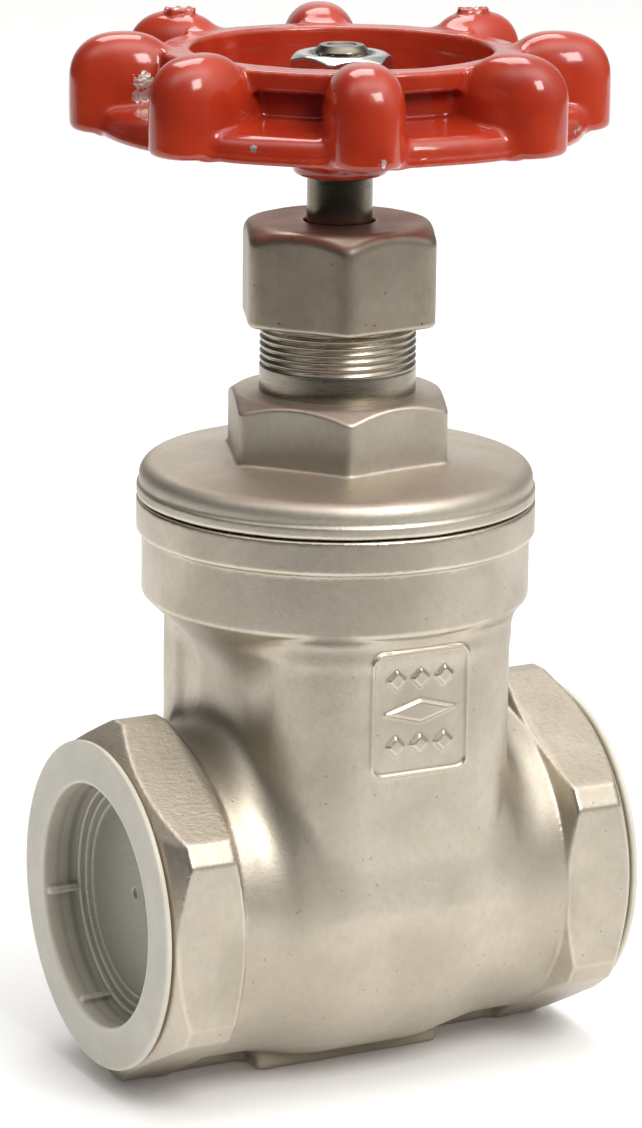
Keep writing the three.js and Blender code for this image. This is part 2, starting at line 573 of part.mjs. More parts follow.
valve.add(
  piece('gland_follower', makeGlandFollower(packingTop), TURNED_STEEL),
  piece('gland_nut', makeGlandNut(), GLAND_STEEL),
  piece('handwheel', makeHandwheel(), RED_PAINT),
  piece('handwheel_washer', disc(
    WASHER_RADIUS, HUB_TOP + GAP, HUB_TOP + GAP + WASHER_HEIGHT, STEM_TIP_RADIUS + NUT_BORE_CLEARANCE,
  ), BRIGHT_STEEL),
  piece('handwheel_nut', makeHandwheelNut(), BRIGHT_STEEL),
  piece('port_cap_left', makePortCap(-1), WHITE_PLASTIC),
  piece('port_cap_right', makePortCap(1), WHITE_PLASTIC),
);

export default valve;
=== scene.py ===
"""Visual model of a threaded gate valve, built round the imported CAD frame.

Lengths in the shape code are millimetres, and heights are measured from the pipe axis. new_object turns them
into metres in the row frame. X runs along the pipe and Z is the stem axis.
"""

import math

import bpy
import numpy as np
from mathutils import Matrix, Vector


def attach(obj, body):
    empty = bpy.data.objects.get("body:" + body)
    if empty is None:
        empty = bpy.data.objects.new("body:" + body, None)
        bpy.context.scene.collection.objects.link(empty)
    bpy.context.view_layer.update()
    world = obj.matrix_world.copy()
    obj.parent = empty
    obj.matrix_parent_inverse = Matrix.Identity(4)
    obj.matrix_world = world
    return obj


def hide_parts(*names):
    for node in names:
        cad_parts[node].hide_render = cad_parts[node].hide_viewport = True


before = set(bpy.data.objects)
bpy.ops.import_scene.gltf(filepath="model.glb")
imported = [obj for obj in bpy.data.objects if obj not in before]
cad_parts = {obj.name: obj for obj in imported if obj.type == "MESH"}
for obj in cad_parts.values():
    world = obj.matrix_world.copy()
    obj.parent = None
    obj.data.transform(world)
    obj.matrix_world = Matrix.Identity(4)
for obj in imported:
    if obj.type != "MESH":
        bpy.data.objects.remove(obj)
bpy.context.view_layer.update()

MM = 0.001
PIPE_HEIGHT = 32.5

# a slope is (share of the distance outwards, share of the distance along the axis, divisor)

# pipe ends and barrel
END_FLATS, END_CORNERS = 58.0, 64.7
END_FACE, END_INNER = 44.7, 31.4
END_BEVEL_RADIUS, END_BEVEL, END_BACK_BEVEL = 28.0, (3.0, 4.4, 5.33), (2.0, 3.6, 4.12)
THREAD_RADIUS, THREAD_DEPTH, THREAD_PITCH, THREAD_BOTTOM, THREAD_MOUTH = 22.7, 0.6, 2.309, 27.0, 1.2
BARREL_RADIUS, BARREL_OVERLAP = 28.85, 3.0
BULGE_RADIUS, BULGE_HALF, BULGE_FADE = 31.3, 8.0, 16.0
PORT_RADIUS, SEAT_RADIUS, SEAT_GAP, SEAT_LEAN = 17.5, 20.8, 8.8, 0.0875

# neck, drum and collar
NECK_HALF_X, NECK_HALF_Y, NECK_CORNER = 22.5, 31.1, 12.3
CHAMBER_HALF_X, CHAMBER_HALF_Y, CHAMBER_CORNER = 16.0, 25.0, 10.0
DRUM_RADIUS, DRUM_BOTTOM, DRUM_UNDERSIDE = 33.6, 51.4, (0.95, 1.0, 1.38)
COLLAR_RADIUS, COLLAR_BOTTOM, BODY_TOP = 34.5, 62.3, 68.3
GASKET_RADIUS, GASKET_DEPTH = 32.7, 1.0
SPIGOT_RADIUS, SPIGOT_BOTTOM, SPIGOT_GAP = 28.5, 58.0, 0.3
GUIDE_HALF, GUIDE_INNER, GUIDE_OUTER, GUIDE_BOTTOM, GUIDE_TOP = 1.9, 19.1, 26.0, -10.0, 54.0
FOLD_NEAR, FOLD_FAR, FOLD_DEPTH, FOLD_BEND = 7.2, 17.8, 1.15, 41.5

# foot and front panel
# feet, as half length, half width and corner: a pad, and a keel along the pipe
FEET, FOOT_TOP = ((18.0, 7.8, 1.5), (36.0, 1.8, 1.2)), -20.0
PANEL_HALF_X, PANEL_HALF_Z, PANEL_MIDDLE, PANEL_CORNER, PANEL_LINE = 9.1, 10.8, 37.3, 2.0, 0.2
MARK_HEIGHT, MARK_FOOT, MARK_EDGE, MARK_PITCH = 0.5, 0.25, 0.55, 4.6
# rows of plain lozenges on the panel: height, half width, half height, number in the row
MARK_ROWS = ((43.2, 1.7, 1.7, 3), (37.4, 6.6, 1.9, 1), (31.6, 1.7, 1.7, 3))

# bonnet
BONNET_BOTTOM, LIP_TOP, RIM_RADIUS = 68.6, 70.7, 34.1
CROWN_TOP, CROWN_DROP, CROWN_RADIUS = 76.2, 1.7, 32.0
BONNET_FLATS, BONNET_CORNERS, BONNET_TURN = 36.0, 41.0, -21.5
BONNET_HEX_BOTTOM, BONNET_HEX_TOP = 70.0, 87.0
BONNET_BEVEL_RADIUS, BONNET_BEVEL = 17.4, (2.2, 3.2, 3.88)
BONNET_HOLLOW_RADIUS, BONNET_HOLLOW_TOP = 23.0, 69.6
BUSH_RADIUS, BUSH_TOP, BOX_BOTTOM = 9.4, 81.4, 84.8
NECK_RADIUS, NECK_BOTTOM, NECK_TOP, NECK_CHAMFER, NECK_MOUTH_RADIUS = 13.5, 86.2, 105.0, 0.4, 10.0
NECK_THREAD_BOTTOM, NECK_THREAD_PITCH, NECK_THREAD_DEPTH, NECK_THREAD_FADE = 91.0, 1.25, 0.36, 0.7

# gland nut
GLAND_FLATS, GLAND_CORNERS, GLAND_TURN = 32.0, 36.3, -23.0
GLAND_BOTTOM, GLAND_TOP, GLAND_CEILING = 99.2, 116.4, 111.6
GLAND_BEVEL_RADIUS, GLAND_BEVEL, GLAND_THREAD_GAP, GLAND_HOLE_GAP = 15.2, (2.2, 3.0, 3.72), 0.3, 0.55

# stem: trapezoidal screw, collar, plain shaft, square for the handwheel and M10 tip
STEM_RADIUS, STEM_GAP = 5.63, 0.3
SCREW_RADIUS, SCREW_LEAD, SCREW_DEPTH = 5.0, 4.0, 1.1
SCREW_BOTTOM, SCREW_TOP, SCREW_CUT_TOP = 21.8, 76.2, 60.0
SHAFT_BOTTOM, SHAFT_TOP = 80.4, 123.8
SQUARE_HALF, SQUARE_BOTTOM, SQUARE_TOP = 5.0, 123.9, 133.3
SQUARE_TOP_NECK, SQUARE_NECK_RADIUS = 133.4, 4.8
TIP_RADIUS, TIP_PITCH, TIP_DEPTH, TIP_BOTTOM, TIP_TOP = 4.85, 1.5, 0.7, 133.6, 145.3
TIP_THREAD_BOTTOM, TIP_THREAD_TOP = 134.0, 145.6
# plain outlines of the stem, as (height, radius)
STEM_FOOT = ((21.0, 3.6), (21.0, 4.2))
STEM_COLLAR = ((76.6, 5.0), (77.0, 5.0), (77.0, 8.3), (77.3, 8.6), (79.7, 8.6), (80.0, 8.3), (80.0, 5.63))
STEM_END = ((145.5, 4.5), (146.1, 3.95), (146.3, 3.75), (146.3, 2.6), (146.15, 2.45), (146.15, 1.0))

# handwheel
LOBES, LOBE_PHASE, LOBE_POWER = 8, -67.1, 2.35
LOBE_MIDDLE, LOBE_HALF_LENGTH, LOBE_HALF_WIDTH, LOBE_SHOULDER, LOBE_RISE = 36.8, 9.2, 6.55, 140.4, 8.1
COLUMN_HALF_WIDTH, COLUMN_INNER, COLUMN_OUTER, COLUMN_TOP = 5.6, 27.0, 37.5, 142.6
WHEEL_BOTTOM, RIM_INNER, RIM_WALL_RADIUS, RIM_WALL_TOP = 132.0, 25.7, 28.0, 145.7
BAND_RADIUS, BAND_BOTTOM, BAND_TOP = 30.8, 142.2, 145.75
FLANGE_RADIUS, FLANGE_TOP, FLANGE_SLOPE, FLANGE_MIDDLE = 41.2, 137.2, 0.12, 33.0
WHEEL_LIP_RADIUS, WHEEL_LIP_INNER, WHEEL_LIP_HEIGHT = 41.45, 26.0, 1.5
SPOKES, SPOKE_PHASE, SPOKE_HALF_WIDTH, SPOKE_HALF_HEIGHT = 4, 22.9, 4.4, 2.7
SPOKE_START, SPOKE_END, SPOKE_ROOT, SPOKE_ROOT_HEIGHT, SPOKE_SLOPE = 3.0, 27.5, 6.0, 129.0, 0.305
HUB_BOTTOM, HUB_RADIUS, HUB_TOP, SHOULDER_RADIUS, SHOULDER_BOTTOM = 124.2, 8.1, 134.0, 10.5, 127.2
SQUARE_HOLE_HALF, SQUARE_HOLE_GAP = 5.3, 0.4
NUB_RADIUS, NUB_HALF_HEIGHT, NUB_RAGGED, NUB_BARE, NUB_BARE_RISE = 2.7, 0.8, 0.4, 2.0, 0.9
# places are lobe number (0 is the first lobe, fractions lie between lobes), radius, height and offset across
NUB_PLACES = ((2, 36.2, 148.2, 0.0), (4, 36.2, 148.2, 0.0))
# chips in the paint: place, then radius
CHIPS = ((5, 33.6, 141.0, 6.6, 2.9), (5, 34.4, 138.6, 6.4, 2.5), (7, 45.4, 133.6, 2.0, 1.35),
         (6.42, 41.2, 134.8, 0.0, 1.3), (0.45, 41.2, 134.0, 0.0, 1.1), (1, 45.8, 134.0, 1.0, 0.9))

# handwheel nut and washer
NUT_FLATS, NUT_CORNERS, NUT_BOTTOM, NUT_TOP, NUT_TURN = 16.0, 18.1, 136.6, 145.0, 19.3
NUT_BEVEL_RADIUS, NUT_BEVEL, NUT_HOLE_RADIUS, NUT_MOUTH_RADIUS = 7.4, (1.2, 1.9, 2.25), 5.15, 5.9
WASHER_RADIUS, WASHER_BOTTOM, WASHER_TOP = 10.0, 134.3, 136.3

# dust caps
CAP_FLANGE_RADIUS, CAP_FACE, CAP_PLUG_RADIUS, CAP_WALL, CAP_DEPTH = 28.7, 46.1, 22.3, 1.1, 8.0
CAP_SEAT_GAP = 0.3
CAP_LEDGES = ((20.0, 1.7), (18.7, 0.9), (17.2, 0.35))      # inner radius and height of each moulded step
CAP_GATE_Y, CAP_GATE_Z, CAP_GATE_RADIUS = 0.6, 0.8, 0.9
CAP_TAB_TURNS = (-10.0, -70.0, 110.0, 170.0)
CAP_TAB_HALF_WIDTH, CAP_TAB_INNER, CAP_TAB_OUTER = 0.6, 20.2, 21.6


# ---- distance fields

def smin(a, b, k):
    """Smallest of two distances, rounded over a width of k where they meet."""
    h = np.maximum(k - np.abs(a - b), 0.0) / k
    return np.minimum(a, b) - h * h * k * 0.25


def smax(a, b, k):
    """Largest of two distances, rounded over a width of k where they meet."""
    return -smin(-a, -b, k)


def step(t):
    """Smooth step from 0 to 1."""
    t = np.clip(t, 0.0, 1.0)
    return t * t * (3.0 - 2.0 * t)


def tri(t):
    """Triangle wave of period 1 between 0 and 1."""
    return 1.0 - np.abs(np.mod(t, 1.0) * 2.0 - 1.0)


def length(*parts):
    total = 0.0
    for part in parts:
        total = total + part * part
    return np.sqrt(total + 1e-9)


def rounded_box(x, y, half_x, half_y, corner):
    """Distance to a rectangle with rounded corners in a plane."""
    qx, qy = np.abs(x) - half_x + corner, np.abs(y) - half_y + corner
    return length(np.maximum(qx, 0), np.maximum(qy, 0)) + np.minimum(np.maximum(qx, qy), 0) - corner


def slab(v, low, high):
    return np.maximum(low - v, v - high)


def cone(out, along, slope):
    """Distance to a sloping edge, from the distances past it outwards and along the axis."""
    out_share, along_share, divisor = slope
    return (out * out_share + along * along_share) / divisor


def hexagon(u, v, flats, corners, soft):
    """Distance to a hexagon with a corner along +v, its corners cut flat at their full width."""
    far = None
    for width, turns in ((flats, (0, 60, 120)), (corners, (30, 90, 150))):
        for turn in turns:
            c, s = math.cos(math.radians(turn)), math.sin(math.radians(turn))
            side = np.abs(u * c + v * s) - width / 2
            far = side if far is None else smax(far, side, soft)
    return far


def turned_plan(x, y, degrees):
    """Coordinates in a plan that is turned about Z."""
    c, s = math.cos(math.radians(degrees)), math.sin(math.radians(degrees))
    return x * c + y * s, -x * s + y * c


def ripple(x, y, z, size):
    """Slow unevenness of a cast surface, between about -1 and 1."""
    k = 1.0 / size
    broad = np.sin(1.7 * k * x + 1.9 * np.sin(1.1 * k * z + 0.6))
    broad = broad * np.sin(1.3 * k * y + 1.4 * np.sin(1.9 * k * x + 2.0))
    narrow = 0.6 * np.sin(2.9 * k * z + 1.5 * np.sin(2.3 * k * y)) * np.sin(2.5 * k * x + 1.0)
    return (broad + narrow) * 0.6


def spaced(*spans):
    """Grid lines from (start, end, spacing) spans that follow one another."""
    lines = [np.arange(start, end - 1e-6, spacing) for start, end, spacing in spans]
    return np.concatenate(lines + [[spans[-1][1]]])


# ---- fields to meshes

def new_object(name, points, faces, attributes=None):
    """Mesh object from millimetre points and an array of faces that all have the same number of corners."""
    corners = faces.shape[1]
    mesh = bpy.data.meshes.new(name)
    place = (points + np.array([0.0, 0.0, PIPE_HEIGHT])) * MM
    mesh.vertices.add(len(points))
    mesh.vertices.foreach_set("co", place.astype(np.float32).ravel())
    mesh.loops.add(len(faces) * corners)
    mesh.loops.foreach_set("vertex_index", faces.astype(np.int32).ravel())
    mesh.polygons.add(len(faces))
    mesh.polygons.foreach_set("loop_start", np.arange(0, len(faces) * corners, corners, dtype=np.int32))
    mesh.update(calc_edges=True)
    for key, values in (attributes or {}).items():
        layer = mesh.attributes.new(key, "FLOAT", "POINT")
        layer.data.foreach_set("value", values.astype(np.float32))
    mesh.validate()
    mesh.shade_smooth()
    piece = bpy.data.objects.new(name, mesh)
    bpy.context.scene.collection.objects.link(piece)
    return piece


CELL = [(i, j, k) for i in (0, 1) for j in (0, 1) for k in (0, 1)]
CELL_EDGES = [(a, b) for a in range(8) for b in range(a + 1, 8)
              if sum(abs(p - q) for p, q in zip(CELL[a], CELL[b])) == 1]
QUAD_CELLS = ((1, 1), (0, 1), (0, 0), (1, 0))
PULLS = 2              # times that the points are moved onto the surface
SLOPE_REACH = 0.35     # half the distance over which the field's slope and curvature are measured
CURVE_LIMIT = 2.0


def cell_points(values, lines, cells):
    """One point in each mixed cell: the mean of the places where the field crosses the cell's edges."""
    corner_value, corner_place = [], []
    for corner in CELL:
        at = cells + corner
        corner_value.append(values[at[:, 0], at[:, 1], at[:, 2]].astype(np.float64))
        corner_place.append(np.stack([lines[d][at[:, d]] for d in range(3)], axis=1))
    points = np.zeros((len(cells), 3))
    hits = np.zeros(len(cells))
    for a, b in CELL_EDGES:
        va, vb = corner_value[a], corner_value[b]
        crosses = (va < 0) != (vb < 0)
        t = (va / np.where(crosses, va - vb, 1.0))[:, None]
        crossing = corner_place[a] + t * (corner_place[b] - corner_place[a])
        points += np.where(crosses[:, None], crossing, 0.0)
        hits += crosses
    return points / hits[:, None]


def cell_faces(inside, number):
    """A quad round every grid edge that crosses the surface, from the numbers of the four cells about it."""
    faces = []
    for d in range(3):
        low, high = [slice(None)] * 3, [slice(None)] * 3
        low[d], high[d] = slice(0, -1), slice(1, None)
        first, second = inside[tuple(low)], inside[tuple(high)]
        e1, e2 = [axis for axis in range(3) if axis != d]
        for flip, change in ((False, first & ~second), (True, ~first & second)):
            at = np.argwhere(change)
            within = (at[:, e1] > 0) & (at[:, e2] > 0)
            within &= (at[:, e1] < number.shape[e1]) & (at[:, e2] < number.shape[e2])
            at = at[within]
            ring = []
            for o1, o2 in QUAD_CELLS:
                cell = at.copy()
                cell[:, e1] -= o1
                cell[:, e2] -= o2
                ring.append(number[cell[:, 0], cell[:, 1], cell[:, 2]])
            quad = np.stack(ring, axis=1)
            faces.append(quad[:, ::-1] if flip != (d == 1) else quad)
    return np.concatenate(faces)


def measured(field, points):
    """The field's value, slope and curvature at each point."""
    here = field(*points.T)
    slope = np.zeros_like(points)
    total = -6.0 * here
    for d in range(3):
        ahead, behind = points.copy(), points.copy()
        ahead[:, d] += SLOPE_REACH
        behind[:, d] -= SLOPE_REACH
        value_ahead, value_behind = field(*ahead.T), field(*behind.T)
        slope[:, d] = (value_ahead - value_behind) / (2 * SLOPE_REACH)
        total += value_ahead + value_behind
    return here, slope, total / (SLOPE_REACH * SLOPE_REACH)


def field_mesh(name, field, grid, spots=()):
    """Skins the inside (below zero) of a distance field with quads, and pulls every point onto the surface.

    The mesh keeps how sharply it curves as an attribute, for worn edges and for painted shade in hollows, and
    bare spots where asked.
    """
    lines = [np.asarray(line, dtype=np.float64) for line in grid]
    places = np.meshgrid(*[line.astype(np.float32) for line in lines], indexing="ij", sparse=True)
    values = np.ascontiguousarray(np.broadcast_to(field(*places), [len(line) for line in lines]))
    inside = values < 0
    count = np.zeros([n - 1 for n in inside.shape], dtype=np.uint8)
    for i, j, k in CELL:
        count += inside[i:i + count.shape[0], j:j + count.shape[1], k:k + count.shape[2]]
    mixed = (count > 0) & (count < 8)
    cells = np.argwhere(mixed)
    number = np.full(mixed.shape, -1, dtype=np.int64)
    number[mixed] = np.arange(len(cells))
    points = cell_points(values, lines, cells)
    faces = cell_faces(inside, number)

    longest = 0.6 * min(float(np.min(np.diff(line))) for line in lines)
    for _ in range(PULLS):
        here, slope, _curve = measured(field, points)
        move = slope * (here / np.maximum((slope * slope).sum(axis=1), 0.05))[:, None]
        far = np.linalg.norm(move, axis=1)
        points -= move * np.minimum(1.0, longest / np.maximum(far, 1e-9))[:, None]
    curve = measured(field, points)[2]
    attributes = {"curve": np.clip(curve, -CURVE_LIMIT, CURVE_LIMIT)}
    if spots:
        bare = np.zeros(len(points))
        for x, y, z, radius in spots:
            away = np.linalg.norm(points - (x, y, z), axis=1)
            bare = np.maximum(bare, 1.0 - away / radius)
        attributes["bare"] = np.clip(bare, 0.0, 1.0)
    return new_object(name, points, faces, attributes)


def turned_rings(rows, radius, segments):
    """A ring of points for each row. radius(row, angles) gives the row's (radii, height)."""
    angles = np.linspace(0, 2 * math.pi, segments, endpoint=False)
    rings = []
    for row in rows:
        radii, height = radius(row, angles)
        rings.append(np.stack([radii * np.cos(angles), radii * np.sin(angles), height + 0 * angles], axis=1))
    around = np.arange(segments)
    return rings, around, (around + 1) % segments


def turned_solid(name, rows, radius, segments, sharp):
    """Closed mesh of revolution whose two ends are closed with a point in the middle."""
    rings, around, after = turned_rings(rows, radius, segments)
    points = np.concatenate(rings + [np.array([rings[0].mean(axis=0), rings[-1].mean(axis=0)])])
    faces = []
    for n in range(len(rings) - 1):
        a, b = n * segments, (n + 1) * segments
        faces.append(np.stack([a + around, a + after, b + after], axis=1))
        faces.append(np.stack([a + around, b + after, b + around], axis=1))
    last = (len(rings) - 1) * segments
    bottom, top = len(points) - 2, len(points) - 1
    faces.append(np.stack([np.full(segments, bottom), after, around], axis=1))
    faces.append(np.stack([np.full(segments, top), last + around, last + after], axis=1))
    piece = new_object(name, points, np.concatenate(faces))
    piece.data.set_sharp_from_angle(angle=math.radians(sharp))
    return piece


def turned_tube(name, rows, radius, segments, sharp):
    """Closed mesh of revolution whose last row joins the first, which leaves a hole along the axis."""
    rings, around, after = turned_rings(rows, radius, segments)
    faces = []
    for n in range(len(rings)):
        a, b = n * segments, ((n + 1) % len(rings)) * segments
        faces.append(np.stack([a + around, a + after, b + after, b + around], axis=1))
    piece = new_object(name, np.concatenate(rings), np.concatenate(faces))
    piece.data.set_sharp_from_angle(angle=math.radians(sharp))
    return piece


def softened(outline, radius, steps=4):
    """The same [radius, height] outline with its inner corners rounded."""
    points = [np.array(p, dtype=float) for p in outline]
    out = [points[0]]
    for before, here, after in zip(points, points[1:], points[2:]):
        back, on = before - here, after - here
        reach = min(radius, np.linalg.norm(back) * 0.45, np.linalg.norm(on) * 0.45)
        start = here + back / max(np.linalg.norm(back), 1e-9) * reach
        end = here + on / max(np.linalg.norm(on), 1e-9) * reach
        for n in range(steps + 1):
            t = n / steps
            out.append((1 - t) ** 2 * start + 2 * t * (1 - t) * here + t * t * end)
    out.append(points[-1])
    return out


def round_grid(half, spacing, *heights):
    """Grid for a piece that stands on the stem axis."""
    across = spaced((-half, half, spacing))
    return across, across, spaced(*heights)


# ---- body

def raised_marks(x, z):
    """Height of the panel's outline and its plain marks, in the plane of the neck's flat front."""
    panel = rounded_box(x, z - PANEL_MIDDLE, PANEL_HALF_X, PANEL_HALF_Z, PANEL_CORNER)
    marks = np.abs(panel) - PANEL_LINE
    for height, half_x, half_z, count in MARK_ROWS:
        for n in range(count):
            across = MARK_PITCH * (n - (count - 1) / 2)
            lozenge = (np.abs(x - across) / half_x + np.abs(z - height) / half_z - 1.0) * half_z * 0.8
            marks = np.minimum(marks, lozenge)
    return MARK_HEIGHT * (1.0 - step((marks + MARK_FOOT) / MARK_EDGE))


def side_fold(ax, y, z):
    """Depth from 0 to 1 of the shallow fold in the far half of each side wall."""
    ridge = FOLD_NEAR + 0.13 * np.maximum(z - FOLD_BEND, 0) ** 2
    across = step((y - ridge) / 2.2) * step((FOLD_FAR - y) / 3.4)
    return across * step((ax - 18.0) / 3.0) * step((z - 25.0) / 3.0)


def body_outside(x, y, z):
    """The outer skin of the casting, with its foot cut level."""
    ax = np.abs(x)
    pipe, spin = length(y, z), length(x, y)
    narrow = step((ax - BULGE_HALF) / BULGE_FADE)
    barrel = pipe - (BULGE_RADIUS - (BULGE_RADIUS - BARREL_RADIUS) * narrow)
    barrel = smax(barrel, ax - END_INNER - BARREL_OVERLAP, 0.5)

    # the neck's wall, and the drum above it with its level edge and sloping underside
    wall = rounded_box(x, y, NECK_HALF_X, NECK_HALF_Y, NECK_CORNER)
    wall = smax(wall, z - COLLAR_BOTTOM, 0.5)
    below = DRUM_BOTTOM - z
    drum = smax(spin - DRUM_RADIUS, cone(spin - DRUM_RADIUS, below, DRUM_UNDERSIDE), 0.3)
    # the drum meets the wall crisply above its edge and ever more softly below it
    blend = 0.3 + 1.9 * step(below / 1.6) + 2.6 * step((below - 1.5) / 4.0)
    upright = smin(wall, drum, blend)
    upright = smax(upright, z - COLLAR_BOTTOM - 0.5, 0.3)
    collar = smax(spin - COLLAR_RADIUS, slab(z, COLLAR_BOTTOM, BODY_TOP), 0.5)
    upright = smin(upright, collar, 0.35)
    upright = smax(upright, -z, 3.0)
    upright = upright + FOLD_DEPTH * side_fold(ax, y, z)
    outer = smin(barrel, upright, 1.8 + 4.6 * step((ax - 14.5) / 7.0))
    outer = outer - raised_marks(x, z) * step((-y - 28.5) / 1.0)

    end = hexagon(y, z, END_FLATS, END_CORNERS, 0.25)
    end = smax(end, cone(pipe - END_BEVEL_RADIUS, ax - END_FACE, END_BEVEL), 0.3)
    end = smax(end, ax - END_FACE, 0.4)
    end = smax(end, cone(pipe - BARREL_RADIUS, END_INNER - ax, END_BACK_BEVEL), 0.3)
    outer = smin(outer, end, 0.15)

    for half_x, half_y, corner in FEET:
        foot = smax(rounded_box(x, y, half_x, half_y, corner), slab(z, -PIPE_HEIGHT, FOOT_TOP), 0.8)
        outer = smin(outer, foot, 2.0)
    outer = outer + 0.05 * ripple(x, y, z, 9.0)
    return np.maximum(outer, -PIPE_HEIGHT - z)


def body_field(x, y, z):
    ax, ay = np.abs(x), np.abs(y)
    pipe, spin = length(y, z), length(x, y)
    outer = smax(body_outside(x, y, z), z - BODY_TOP, 0.4)
    shaft = smax(rounded_box(x, y, CHAMBER_HALF_X, CHAMBER_HALF_Y, CHAMBER_CORNER), -z, 0.5)
    sump = smax(pipe - CHAMBER_HALF_Y, ax - CHAMBER_HALF_X, 3.0)
    socket = np.maximum(spin - SPIGOT_RADIUS - SPIGOT_GAP, SPIGOT_BOTTOM - SPIGOT_GAP - z)
    ledge = np.maximum(spin - GASKET_RADIUS, BODY_TOP - GASKET_DEPTH - z)
    hollow = np.minimum(np.minimum(shaft, sump), np.minimum(socket, ledge))
    solid = smax(outer, -hollow, 0.4)

    lean = SEAT_GAP + SEAT_LEAN * z - ax
    seat = np.maximum(smax(pipe - SEAT_RADIUS, ax - CHAMBER_HALF_X - 1, 0.3), lean)
    guide = np.maximum(ax - GUIDE_HALF, slab(ay, GUIDE_INNER, GUIDE_OUTER))
    guide = np.maximum(guide, slab(z, GUIDE_BOTTOM, GUIDE_TOP))
    solid = np.minimum(np.minimum(solid, seat), guide)

    turn = np.arctan2(z, y) / (2 * math.pi)
    phase = np.abs(np.mod(ax / THREAD_PITCH - turn, 1.0) - 0.5) * 4.0 - 1.0
    threaded = THREAD_RADIUS + THREAD_DEPTH * phase
    mouth = pipe - (THREAD_RADIUS + THREAD_MOUTH - (END_FACE - ax))
    water = np.minimum(pipe - PORT_RADIUS, np.maximum(pipe - threaded, THREAD_BOTTOM - ax) * 0.8)
    water = np.minimum(water, np.maximum(mouth, THREAD_BOTTOM + 10 - ax) * 0.7)
    return smax(solid, -water, 0.3)


def make_body():
    """The casting, on a grid that is finer over its front panel and its neck."""
    grid = (spaced((-45.6, -10.6, 0.5), (-10.6, 10.6, 0.32), (10.6, 45.6, 0.5)),
            spaced((-35.6, -32.2, 0.5), (-32.2, -29.8, 0.3), (-29.8, 35.6, 0.5)),
            spaced((-33.6, 25.2, 0.5), (25.2, 49.4, 0.32), (49.4, 69.4, 0.5)))
    return field_mesh("valve_body_casting", body_field, grid)


# ---- bonnet and gland nut

def bonnet_field(x, y, z):
    spin = length(x, y)
    crown = CROWN_TOP - CROWN_DROP * (spin / CROWN_RADIUS) ** 3
    cover = smax(spin - RIM_RADIUS, (z - crown) * 0.99, 2.6)
    cover = smax(cover, BONNET_BOTTOM - z, 0.3)
    lip = smax(spin - COLLAR_RADIUS, slab(z, BONNET_BOTTOM, LIP_TOP), 0.5)
    solid = smin(cover, lip, 0.3)
    u, v = turned_plan(x, y, BONNET_TURN)
    nut = hexagon(u, v, BONNET_FLATS, BONNET_CORNERS, 0.4)
    nut = smax(nut, cone(spin - BONNET_BEVEL_RADIUS, z - BONNET_HEX_TOP, BONNET_BEVEL), 0.35)
    nut = smax(nut, slab(z, BONNET_HEX_BOTTOM, BONNET_HEX_TOP), 0.4)
    solid = smin(solid, nut, 0.8)
    solid = solid + 0.04 * ripple(x, y, z, 7.0)
    spigot = smax(spin - SPIGOT_RADIUS, slab(z, SPIGOT_BOTTOM, BONNET_HEX_BOTTOM), 0.6)
    solid = np.minimum(solid, spigot)
    hollow = smax(spin - BONNET_HOLLOW_RADIUS, z - BONNET_HOLLOW_TOP, 2.0)
    bush = np.maximum(spin - BUSH_RADIUS, z - BUSH_TOP)
    box = np.maximum(spin - BUSH_RADIUS, BOX_BOTTOM - z)
    inside = np.minimum(np.minimum(bush, box), spin - STEM_RADIUS - STEM_GAP)
    hollow = np.minimum(hollow, inside)
    return smax(solid, -hollow, 0.3)


def make_bonnet_neck():
    """The bonnet's neck: threaded outside, with the packing's bore inside. Its rows are (height, radius)."""
    thread_top = NECK_TOP - NECK_CHAMFER
    rows = [(z, NECK_RADIUS) for z in np.arange(NECK_BOTTOM, NECK_TOP - 0.6, 0.14)]
    rows += [(thread_top, NECK_RADIUS - NECK_CHAMFER), (NECK_TOP, NECK_RADIUS - 1.0)]
    rows += [(NECK_TOP, NECK_MOUTH_RADIUS)]
    rows += [(z, BUSH_RADIUS) for z in (NECK_TOP - 0.6, 96.0, NECK_BOTTOM)]

    def radius(row, angles):
        height, base = row
        if base <= NECK_MOUTH_RADIUS:
            return base + 0 * angles, height
        groove = (1.0 - tri(height / NECK_THREAD_PITCH - angles / (2 * math.pi))) ** 1.3
        strength = step((height - NECK_THREAD_BOTTOM) / NECK_THREAD_FADE)
        strength = strength * step((thread_top - height) / NECK_THREAD_FADE)
        return base - NECK_THREAD_DEPTH * groove * strength, height
    return turned_tube("bonnet_neck_thread", rows, radius, 144, 40)


def gland_field(x, y, z):
    spin = length(x, y)
    u, v = turned_plan(x, y, GLAND_TURN)
    nut = hexagon(u, v, GLAND_FLATS, GLAND_CORNERS, 1.0)
    nut = smax(nut, cone(spin - GLAND_BEVEL_RADIUS, z - GLAND_TOP, GLAND_BEVEL), 1.2)
    nut = smax(nut, slab(z, GLAND_BOTTOM, GLAND_TOP), 0.8)
    nut = nut + 0.05 * ripple(x, y, z, 5.0)
    bore = np.maximum(spin - NECK_RADIUS - GLAND_THREAD_GAP, z - GLAND_CEILING)
    hole = np.minimum(bore, spin - STEM_RADIUS - GLAND_HOLE_GAP)
    return smax(nut, -hole, 0.35)


# ---- stem

PLAIN, SCREW, SQUARE, TIP = range(4)


